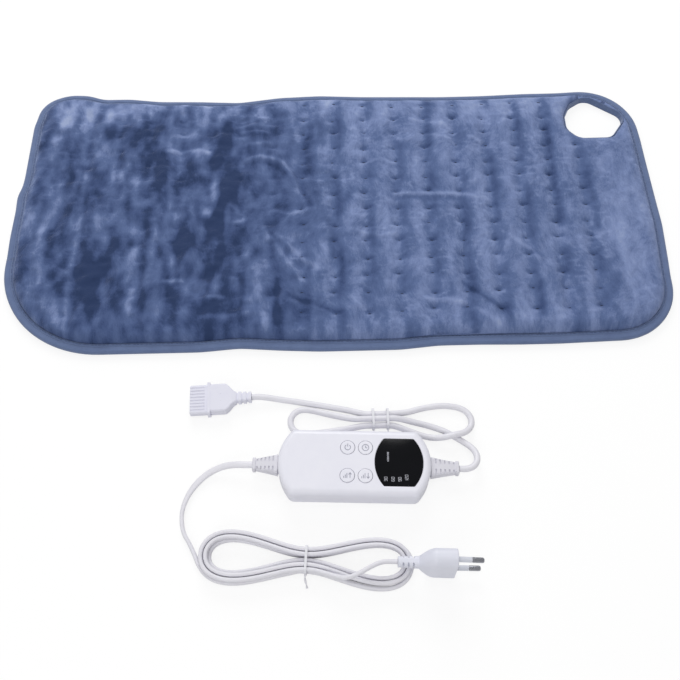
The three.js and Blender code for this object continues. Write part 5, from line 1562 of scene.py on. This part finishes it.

# Noise as (grain along X and Y, seed, weight) of the cover's lumps, its darker bands, how its pile lies,
# its short light wisps and where they are, and how its pile is combed.
LUMPS = (((16, 30), 3.1, (0.8, 1.9)), ((13, 8), 7.7, (0.9, 0.8)), ((7, 4.5), 1.9, (0.55, 0)))
NAP_CLOUDS = (((11, 26), 4.4, 0.3), ((7, 13), 8.8, 0.26), ((45, 60), 2.2, 0.16))
# The band noise sets how strong the painted shade beside each column is.
BAND_CLOUDS = ((24, 34), 6.3, 1.6)
WISPS = ((15, 7), 12.4, 7)
WISP_CLOUDS = ((20, 20), 3.9, 3)
COMB_CLOUDS = ((45, 45), (5.5, 6.6), 14)
BACKING_RIPPLE = ((30, 40), 9.1)

# The hand hole's corners, as shares of its width and depth and the fillet's share of the width.
HOLE_SHARES = (
    (-0.33, -0.48, 0.225), (0.185, -0.474, 0.16), (0.508, 0.018, 0.195), (-0.089, 0.509, 0.195),
    (-0.363, 0.307, 0.195), (-0.492, 0.026, 0.225), (-0.5, -0.272, 0.225),
)


BORDER_STEP = 1.5
BORDER_SOFTNESS = 7


def search(places: Array) -> KDTree:
    """Builds a search among (x, y) places."""
    tree = KDTree(len(places))
    for index, (x, y) in enumerate(places):
        tree.insert((x, y, 0), index)
    tree.balance()
    return tree


def nearest_of(tree: KDTree, places: Array) -> Array:
    """Finds which of the searched places lies nearest to each (x, y)."""
    return np.array([tree.find((x, y, 0))[1] for x, y in places])


class Border:
    """A closed anticlockwise line, with how far and which way points lie from it."""

    def __init__(self, outline: Array, shifts: tuple = ()) -> None:
        self.points = respaced(np.vstack([outline, outline[:1]]), BORDER_STEP)[:-1]
        along = np.roll(self.points, -1, 0) - np.roll(self.points, 1, 0)
        along /= np.linalg.norm(along, axis=1)[:, None]
        self.outward = np.column_stack([along[:, 1], -along[:, 0]])
        self.tree = search(self.points)
        self.shift = np.zeros(len(self.points))
        if shifts:
            marks = sorted((self.tree.find((x, y, 0))[1], outward) for x, y, outward in shifts)
            whole = np.interp(np.arange(len(self.points)), *zip(*marks), period=len(self.points))
            reach = BORDER_SOFTNESS
            soft = np.hanning(2 * reach + 1) / np.hanning(2 * reach + 1).sum()
            self.shift = np.convolve(np.concatenate([whole[-reach:], whole, whole[:reach]]), soft, "valid")

    def near(self, places: Array) -> tuple:
        """Finds the nearest mark and the distance inside the line for each (x, y)."""
        nearest = nearest_of(self.tree, places)
        gap = np.einsum("ij,ij->i", self.points[nearest] - places, self.outward[nearest])
        return nearest, gap


@dataclass
class Pad:
    """The quilted pad: backing, felt, plush cover, the tape round its edge and the lining of its hand hole."""

    looks: Finishes
    size: tuple = (600, 292)
    radii: tuple = (96, 62, 52, 38)
    hole_at: tuple = (260.5, 108.5)
    hole_size: tuple = (62, 57)
    tape_width: float = 8.5
    tape_height: float = 5.7
    tape_crease: float = 50
    cover_inset: float = 8.8
    seam: float = 6.6
    pocket: float = 6.8
    flat: float = 3.2
    crown: float = 13.7
    roll: float = 15
    inlet: tuple = (-287.4, 7.9, -250.1, 42.1)
    inlet_top: float = 10.3
    window: tuple = (-284.5, 10.45, -252.7, 39.55)
    columns: range = range(-10, 7)
    rows: int = 14
    row_span: tuple = (-114, 239)
    front_column: tuple = (53.3, 28.8)
    rear_column: tuple = (58, 29.5)
    edge_clear: float = 18
    hole_clear: float = 12
    grid: float = 2.1
    backing_grid: float = 4.5
    felt_grid: float = 7
    crease: float = 60
    shift_reach: float = 70
    hole_calm: tuple = (4, 30)
    hole_growth: float = 1.3
    backing_inset: float = 2.6
    backing_heights: tuple = (0.12, 1.35, 2.7)
    felt_inset: float = 20.2
    felt_hole: float = 12.2
    felt_heights: tuple = (3.05, 3.75)
    felt_opening: tuple = (5.5, 0.2)
    hem_rise: float = 0.6
    hem_radius: float = 29
    flange: float = 9
    pocket_insets: tuple = (8.7, 8.2)
    least_thickness: float = 1.2
    rim_slope: float = 20
    # Where the crushed left side, the quilting, the dark side and the light rear start, and over how far.
    crushed: tuple = (-60, 110)
    quilted: tuple = (6, 14)
    dark_side: tuple = (-110, 150)
    rear: tuple = (85, 40)
    crushed_quilting: float = 0.4
    crushed_bands: float = 0.6
    nap_levels: tuple = (0.58, 0.3, 0.12)
    cloud_weights: tuple = (0.4, 0.9)
    wisp: float = 0.14
    stitch_turn: tuple = (2.7, 0.16)
    stitch_sink: float = 0.02
    stitch_pitch: float = 2.4
    stitch_inset: float = 7.1
    stitch: tuple = (2.6, 0.55, 0.5)
    quilt_stitch: tuple = (4.2, 0.8, 0.55)
    quilt_stitch_from: float = -45

    def __post_init__(self) -> None:
        self.edge = Border(self.outline(0), EDGE_SHIFTS)
        self.hole = Border(self.hole_outline(0))

    def outline(self, inset: float) -> Array:
        """Draws the pad's plain outline, so far inside its edge."""
        x, y = self.size[0] / 2, self.size[1] / 2
        return rounded_outline(rectangle(-x, -y, x, y), self.radii, -inset, 24)

    def hole_outline(self, growth: float) -> Array:
        """Draws the hand hole's outline, grown so far."""
        width, depth = self.hole_size
        corners = [(self.hole_at[0] + u * width, self.hole_at[1] + v * depth) for u, v, _ in HOLE_SHARES]
        return rounded_outline(corners, [fillet * width for *_, fillet in HOLE_SHARES], growth, 10)

    def settled(self, points: Array) -> Array:
        """Moves points of the plain pad to where the real one's uneven edge carries them."""
        points = np.array(points, float)
        nearest, inside = self.edge.near(points[:, :2])
        away = self.hole.near(points[:, :2])[1]
        start, span = self.hole_calm
        share = self.edge.shift[nearest] * (1 - smoothstep(inside / self.shift_reach))
        share *= smoothstep((start - away) / span)
        points[:, :2] += self.edge.outward[nearest] * share[:, None]
        return points

    def tufts(self) -> Array:
        """Lists where the quilting stitches pull the cover down, in columns that fan a little."""
        first, span = self.row_span
        places = []
        for column in self.columns:
            for row in range(self.rows):
                y = first + row * span / (self.rows - 1)
                aside, ahead = 1.2 * math.sin(5.1 * column + 2.3 * row), 1.4 * math.sin(3.7 * row + column)
                places.append((self.column_x(column, y) + aside, y + ahead))
        places = np.array(places)
        clear = (self.edge.near(places)[1] > self.edge_clear) & (self.hole.near(places)[1] < -self.hole_clear)
        return places[clear]

    def column_x(self, column: int, y):
        """Finds where a column of tufts runs at one depth or at an array of depths."""
        first, span = self.row_span
        share = (y - first) / span
        front, rear = (start + pitch * column for start, pitch in (self.front_column, self.rear_column))
        return front * (1 - share) + rear * share

    def sheet(self, name: str, material: Finish, outer: Array, holes: list, spacing: float,
              heights) -> Piece:
        """Makes a closed sheet between two surfaces.

        Args:
            name: the piece's name.
            material: its finish.
            outer: its outline.
            holes: the outlines of its openings.
            spacing: about how wide its faces are.
            heights: gives the lower and upper heights for an array of (x, y).
        Returns: the piece, settled with the rest of the pad.
        """
        rim_spacing, margin = spacing * 0.8, spacing * 0.6
        rims = [respaced(np.vstack([rim, rim[:1]]), rim_spacing)[:-1] for rim in (outer, *holes)]
        borders = [Border(rim) for rim in rims]
        low, high = outer.min(0), outer.max(0)
        rows = np.arange(low[1], high[1], spacing * math.sqrt(3) / 2)
        inner = np.array([(x + (index % 2) * spacing / 2, y) for index, y in enumerate(rows)
                          for x in np.arange(low[0], high[0], spacing)])
        keep = borders[0].near(inner)[1] > margin
        for border in borders[1:]:
            keep &= border.near(inner)[1] < -margin
        inner = inner[keep]
        flat = [Vector(point) for point in np.vstack(rims + [inner])]
        edges, start = [], 0
        for rim in rims:
            edges += [(start + i, start + (i + 1) % len(rim)) for i in range(len(rim))]
            start += len(rim)
        where, _, faces, *_ = geometry.delaunay_2d_cdt(flat, edges, [], 1, SAME_CORNER, False)
        where = np.array([tuple(point) for point in where])
        middles = np.array([where[list(face)].mean(0) for face in faces])
        solid = borders[0].near(middles)[1] > 0
        for border in borders[1:]:
            solid &= border.near(middles)[1] < 0
        faces = [face for face, kept in zip(faces, solid) if kept]
        lower, upper = heights(where)
        count = len(where)
        body = Solid([tuple(point) for point in self.settled(np.vstack([
            np.column_stack([where, upper]), np.column_stack([where, lower])]))])
        body.faces += faces + [tuple(index + count for index in reversed(face)) for face in faces]
        body.faces += [(a, b, b + count, a + count) for a, b in edges]
        return body.made(name, material, crease=self.crease)

    def over_inlet(self, places: Array) -> Array:
        """Says which places lie over the connector's inlet."""
        x0, y0, x1, y1 = self.inlet
        x, y = places.T
        return (x > x0) & (x < x1) & (y > y0) & (y < y1)

    def cover_heights(self, places: Array) -> tuple:
        """Works out the plush cover's underside and its quilted, crumpled top."""
        inside = self.edge.near(places)[1] - self.cover_inset
        away = -self.hole.near(places)[1] - self.hole_growth
        depth = np.minimum(inside, away)
        left = 1 - eased(places[:, 0], *self.crushed)
        stitched = eased(depth, *self.quilted)
        top = self.crown + stitched * (1 - self.crushed_quilting * left) * self.quilting(places)[0]
        top += self.crumple(places, left) + strokes_at(places)[0]
        share = np.clip(depth / self.roll, 0, 1)
        top = self.seam + (top - self.seam) * np.sqrt(1 - (1 - share) ** 2)
        from_edge, from_hole = self.pocket_insets
        lower = np.where((inside > from_edge) & (away > from_hole), self.pocket, self.flat)
        lower = np.where(self.over_inlet(places), self.inlet_top, lower)
        least = np.minimum(lower + self.least_thickness, self.seam + self.rim_slope * np.clip(depth, 0, 1))
        return lower, np.maximum(top, least)

    def quilting(self, places: Array) -> tuple:
        """Works out the lift and the tone that the tufts and their columns give each (x, y); the tone is
        painted shade and painted light.
        """
        tufts = self.tufts()
        nearest = nearest_of(search(tufts), places)
        across, back = (places - tufts[nearest]).T
        pull = 0.75 + 0.25 * np.sin(nearest * 4.3)
        x, y = places.T
        beside = x - np.array([self.column_x(column, y) for column in self.columns])
        beside = beside[np.abs(beside).argmin(0), np.arange(len(x))]
        grain_size, seed, weight = BAND_CLOUDS
        cloud = np.clip(0.5 + weight * field_noise(places, grain_size, seed), 0, 1)
        tufted = (SLIT, pull), (BROW, pull), (DENT, 1)
        banded = (GROOVE, 1), (PAINTED_SHADE_BAND, cloud), (PAINTED_LIGHT_BAND, 1)
        marks = [(mark, mark.strength(across, back) * share) for mark, share in tufted]
        marks += [(mark, mark.strength(beside) * share) for mark, share in banded]
        return (sum(mark.lift * strength for mark, strength in marks),
                sum(mark.tone * strength for mark, strength in marks))

    def crumple(self, places: Array, left: Array) -> Array:
        """Works out the small lumps of the crushed cover, stronger on the left."""
        return sum(field_noise(places, grain_size, seed) * (everywhere + crushed * left)
                   for grain_size, seed, (everywhere, crushed) in LUMPS)

    def cover(self) -> Piece:
        """Makes the plush cover with how its pile lies and the painted shade and light of its folds, tufts and
        columns.
        """
        plush = self.sheet("plush_cover", self.looks.pile, self.outline(self.cover_inset),
                           [self.hole_outline(self.hole_growth)], self.grid, self.cover_heights)
        places = corners_of(plush)[:, :2] / MM
        carry(plush, "nap", self.nap(places))
        grain_size, seeds, reach = COMB_CLOUDS
        sway = np.column_stack([field_noise(places, grain_size, seed) for seed in seeds]) * reach
        carry(plush, "comb", level((places + sway) * MM, 0.0))
        attached(plush, ("top_cover",))
        return plush

    def nap(self, places: Array) -> Array:
        """Works out how light the cover is, from 0 to 1: how its pile lies, with the painted shade and light of
        its folds, tufts and columns, darker and more uneven on the left.
        """
        left = 1 - eased(places[:, 0], *self.dark_side)
        base, darker, lighter = self.nap_levels
        nap = base - darker * left + lighter * eased(places[:, 1], *self.rear)
        # The folds and the quilting add painted shade and painted light here.
        nap += strokes_at(places)[1] + (1 - self.crushed_bands * left) * self.quilting(places)[1]
        even, uneven = self.cloud_weights
        for grain_size, seed, weight in NAP_CLOUDS:
            nap += field_noise(places, grain_size, seed) * weight * (even + uneven * left)
        (grain_size, seed, sharpness), (spread, spread_seed, gain) = WISPS, WISP_CLOUDS
        wisps = np.clip(1 - np.abs(field_noise(places, grain_size, seed)) * sharpness, 0, 1)
        return nap + self.wisp * wisps * np.clip(field_noise(places, spread, spread_seed) * gain, 0, 1)

    def backing(self) -> Piece:
        """Makes the plain backing, with its flange inside the tape and its opening for the connector."""
        ripple, flange, top = self.backing_heights

        def heights(places: Array) -> tuple:
            """Gives the backing's lower and upper heights."""
            inside = self.edge.near(places)[1]
            low = (field_noise(places, *BACKING_RIPPLE) + 1) * ripple
            return np.where(inside < self.flange, flange, low), np.full(len(places), top)

        back = self.sheet("backing", self.looks.backing, self.outline(self.backing_inset),
                          [self.hole_outline(self.hole_growth), rectangle(*self.window)],
                          self.backing_grid, heights)
        attached(back, ("bottom_cover",))
        return back

    def carrier(self) -> Piece:
        """Makes the felt that carries the heating wire."""
        def heights(places: Array) -> tuple:
            """Gives the felt's lower and upper heights."""
            low, high = self.felt_heights
            return np.full(len(places), low), np.full(len(places), high)

        x0, y0, x1, y1 = self.window
        inner, clear = self.felt_opening
        opening = rectangle(x0 + inner, y0 - clear, x1 + clear, y1 + clear)
        felt = self.sheet("heater_felt", self.looks.felt, self.outline(self.felt_inset), [opening],
                          self.felt_grid, heights)
        clearing = self.hole_outline(self.felt_hole)
        cutter = Solid().loft([level(clearing, z) for z in (0, self.crown)])
        felt = carved(felt, [cutter.made("clearing", self.looks.felt)])
        return attached(felt, ("heater_carrier",))

    def tape(self) -> Piece:
        """Makes the folded binding tape, with its outer band, its groove and its inner strip."""
        top, width = self.tape_height, self.tape_width
        # Rows of (inset, height): under, round the fold, over band, groove and strip, then back inside.
        profile = [
            (width, 0), (3, 0), (1.5, 0), (0.7, 0.5), (0.15, 1.5), (0, 2.6), (0.1, 3.8), (0.6, 4.9), (1.5, 5.5),
            (2.6, top), (4.2, top), (5.3, top - 0.1), (5.75, top - 0.5), (6.2, top - 0.1), (7, top),
            (7.9, top - 0.05), (width, top - 0.45), (width, 4.7), (4, 4.7), (2.2, 4.7), (2.2, 2.8), (2.2, 1),
            (4, 1), (width, 1),
        ]
        pucker_from, pucker_share, pucker_pace = 4.8, 0.06, 2.2
        step = np.arange(0, len(self.edge.points), 2)
        across = np.concatenate([[0], np.cumsum(np.linalg.norm(np.diff(np.array(profile), axis=0), axis=1))])
        pucker = 1 + pucker_share * np.sin(step * pucker_pace)
        rings = []
        for index, mark in enumerate(step):
            out, base = self.edge.outward[mark], self.edge.points[mark]
            rings.append([(*(base - out * inset), z + max(0, z - pucker_from) * (pucker[index] - 1))
                          for inset, z in profile])
        flat = self.settled(np.array(rings).reshape(-1, 3))
        band = Solid().loft(list(flat.reshape(len(step), len(profile), 3)), closed=True)
        tape = band.made("edge_tape", self.looks.tape, crease=self.tape_crease)
        lay = [(mark * BORDER_STEP, reach, 0) for mark in step for reach in across]
        carry(tape, "tape", np.array(lay, np.float32) * MM)
        return attached(tape, ("edge_binding",))

    def lining(self) -> Piece:
        """Makes the hem that lines the hand hole."""
        top = self.seam + self.hem_rise
        # Rows of (growth, height) across the hem.
        rims = [(1, 0), (1, top - 0.35), (0.75, top), (0.3, top + 0.02), (0, top - 0.3), (0, 0)]
        rings = [level(self.hole_outline(growth), z) for growth, z in rims]
        hem = Solid().loft(rings, closed=True).made("hole_hem", self.looks.tape)
        places = corners_of(hem).astype(np.float32)
        x, y, z = (places - np.array([*self.hole_at, 0], np.float32) * MM).T
        carry(hem, "tape", np.column_stack([np.arctan2(y, x) * self.hem_radius * MM, z, z * 0]))
        return attached(hem, ("hole_binding",))

    def edge_stitches(self, repeats: Repeats) -> Piece:
        """Makes the row of stitches along the tape."""
        marks = np.arange(0, len(self.edge.points), self.stitch_pitch).astype(int)
        places = self.edge.points[marks] - self.edge.outward[marks] * self.stitch_inset
        places = self.settled(level(places, self.tape_height + self.stitch_sink))
        out = self.edge.outward[marks]
        turns = np.column_stack([0 * marks, 0 * marks, np.arctan2(out[:, 0], -out[:, 1])])
        shape = pill(*self.stitch, self.looks.thread)
        row = repeats.made("tape_stitches", shape, places, turns, self.looks.thread)
        return attached(row)

    def quilt_stitches(self, repeats: Repeats, cover: Piece) -> Piece:
        """Makes the short stitches that show at the bottom of the tufts."""
        tufts = self.tufts()
        tufts = self.settled(level(tufts[tufts[:, 0] > self.quilt_stitch_from], 0))
        bpy.context.view_layer.update()
        places = []
        for x, y, _ in tufts:
            _, point, *_ = cover.ray_cast(Vector((x, y, 4 * self.crown)) * MM, (0, 0, -1))
            places.append((x, y, point.z / MM - self.stitch_sink))
        pace, reach = self.stitch_turn
        tilt = np.sin(np.arange(len(places)) * pace) * reach
        turns = np.column_stack([tilt * 0, tilt * 0, tilt])
        shape = pill(*self.quilt_stitch, self.looks.dark_thread)
        row = repeats.made("quilting_stitches", shape, np.array(places), turns, self.looks.dark_thread)
        return attached(row)

    def build(self, repeats: Repeats) -> None:
        """Makes every piece of the pad."""
        cover = self.cover()
        self.backing()
        self.carrier()
        self.tape()
        self.lining()
        self.edge_stitches(repeats)
        self.quilt_stitches(repeats, cover)
        LOG.info("pad with %d tufts", len(self.tufts()))


def field_noise(places: Array, grain_size: tuple, seed: float) -> Array:
    """Gives smooth noise from -1 to 1 whose lumps are so many millimetres along X and Y."""
    wide, deep = grain_size
    return np.array([noise.noise(Vector((x / wide, y / deep, seed * 17))) for x, y in places])


def strokes_at(places: Array) -> tuple:
    """Adds up the lift and the tone that the listed folds and patches give each (x, y)."""
    lift, tone = np.zeros(len(places)), np.zeros(len(places))
    x, y = places[:, 0], places[:, 1]
    for at_x, at_y, wide, deep, shade in PATCHES:
        tone += shade * hump(x - at_x, wide) * hump(y - at_y, deep)
    # A fold's tone is painted light along a ridge and painted shade along a crease.
    for width, rise, shade, *line in FOLDS:
        near = np.full(len(places), np.inf)
        for start, end in zip(line, line[1:]):
            span = np.subtract(end, start)
            share = np.clip(((places - start) @ span) / (span @ span), 0, 1)
            near = np.minimum(near, np.linalg.norm(places - start - share[:, None] * span, axis=1))
        soft = hump(near, width)
        lift += rise * soft
        tone += shade * soft
    return lift, tone


# Pieces that keep their frame shapes

HARDWARE = {
    "insulation": ("heating_wire",),
    "nylon": ("temperature_sensor", "inlet_housing", "display_module", "film_capacitor", "triac",
              *(f"{name}_{part}" for name in ("power", "timer", "heat_up", "heat_down")
                for part in ("plunger", "switch"))),
    "brass": ("inlet_contact_block", *(f"connector_contact_{index}" for index in range(1, 5))),
    "laminate": ("circuit_board",),
    "steel": ("fuse",),
}


def dress_hardware(looks: Finishes) -> None:
    """Gives each frame piece that stays in sight its own material."""
    for finish, names in HARDWARE.items():
        for name in names:
            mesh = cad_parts[name].data
            mesh.materials.clear()
            mesh.materials.append(getattr(looks, finish))
    LOG.info("hardware with %d kinds of finish", len(HARDWARE))


# The studio

@dataclass
class Studio:
    """A pale floor, soft lamps from behind and above, and the camera of the photograph."""

    camera_at: tuple = (-9.5, -470.6, 606)
    heading: tuple = (0.0259, 0.99966)
    dip: float = 61.06
    lens: float = 42.8
    sensor: float = 36
    floor: float = 6
    floor_drop: float = 0.0004
    paper: float = 0.2
    bounce: float = 0.8
    aim: tuple = (0, -60, 0)
    glow: float = 0.81
    ambient: float = 0.44
    lamps: tuple = (
        ("rear key", (-150, 1100, 900), 1000, 11.4, True),
        ("top fill", (100, -150, 1500), 1300, 4.8, False),
        ("front fill", (-500, -1300, 800), 900, 4.6, True),
    )

    def white(self, tree: Tree):
        """Returns 1 for rays that see the background itself or through something clear."""
        path = add_node(tree, "ShaderNodeLightPath").outputs
        return maths(tree, "MAXIMUM", path["Is Camera Ray"], path["Is Transmission Ray"])

    def set_world(self) -> None:
        """Makes the white surroundings, which light the set less than they show."""
        world = bpy.data.worlds.new("studio")
        bpy.context.scene.world = world
        tree = empty_tree(world)
        strength = add_node(tree, "ShaderNodeMapRange", {"Value": self.white(tree), "To Min": self.ambient})
        light = add_node(tree, "ShaderNodeBackground", {
            "Color": linear("#ffffff"), "Strength": strength.outputs[0],
        })
        add_node(tree, "ShaderNodeOutputWorld", {"Surface": light.outputs[0]})

    def set_floor(self) -> None:
        """Makes the floor, which stays white and keeps a faint shadow."""
        half = self.floor / 2
        mesh = bpy.data.meshes.new("floor")
        corners = level(rectangle(-half, -half, half, half), -self.floor_drop)
        mesh.from_pydata(corners.tolist(), [], [(0, 1, 2, 3)])
        material = bpy.data.materials.new("matt white paper sweep")
        tree = empty_tree(material)
        paper, bounce = (add_node(tree, "ShaderNodeBsdfDiffuse", {"Color": (grey, grey, grey, 1)}).outputs[0]
                         for grey in (self.paper, self.bounce))
        glow = add_node(tree, "ShaderNodeEmission", {"Color": linear("#ffffff"), "Strength": self.glow})
        bright = add_node(tree, "ShaderNodeAddShader", {0: paper, 1: glow.outputs[0]}).outputs[0]
        surface = add_node(tree, "ShaderNodeMixShader", {0: self.white(tree), 1: bounce, 2: bright})
        add_node(tree, "ShaderNodeOutputMaterial", {"Surface": surface.outputs[0]})
        mesh.materials.append(material)
        shown(mesh, "floor")

    def set_lamps(self) -> None:
        """Hangs the soft lamps, aimed at the middle of the set; each says whether gloss mirrors it."""
        for name, at, size, power, mirrored in self.lamps:
            light = bpy.data.lights.new(name, "AREA")
            light.shape, light.size, light.energy = "DISK", size * MM, power
            lamp = linked(name, light)
            lamp.location = Vector(at) * MM
            lamp.rotation_euler = (Vector(self.aim) - Vector(at)).to_track_quat("-Z", "Y").to_euler()
            lamp.visible_glossy = mirrored

    def set_camera(self) -> None:
        """Stands the camera where the photograph was taken from."""
        camera = bpy.data.cameras.new("camera")
        camera.lens, camera.sensor_width = self.lens, self.sensor
        thing = linked("camera", camera)
        dip = math.radians(self.dip)
        view = Vector((self.heading[0] * math.cos(dip), self.heading[1] * math.cos(dip), -math.sin(dip)))
        thing.location = Vector(self.camera_at) * MM
        thing.rotation_euler = view.to_track_quat("-Z", "Y").to_euler()
        bpy.context.scene.camera = thing
        bpy.context.scene.view_settings.view_transform = "Standard"

    def build(self) -> None:
        """Sets up the studio."""
        self.set_camera()
        self.set_world()
        self.set_floor()
        self.set_lamps()
        LOG.info("studio with %d lamps", len(self.lamps))


def main() -> None:
    """Builds the studio and every piece of the set."""
    logging.basicConfig(level=logging.INFO, format="%(message)s")
    looks, repeats = Finishes(), Repeats()
    Studio().build()

    ties = [tie.made(looks) for tie in TIES]
    plug = Plug(looks)
    mains_cord().made(looks.cord, [plug.shell(), *plug.pins(), ties[2]])
    connector = Connector(looks)
    contacts = [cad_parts[f"connector_contact_{index}"] for index in range(1, 5)]
    lead_cord().made(looks.cord, [connector.build(), connector.beads(repeats), *contacts, *ties[:2]])

    Controller(looks).build(repeats)
    Pad(looks).build(repeats)
    dress_hardware(looks)


if __name__ == "__main__":
    main()
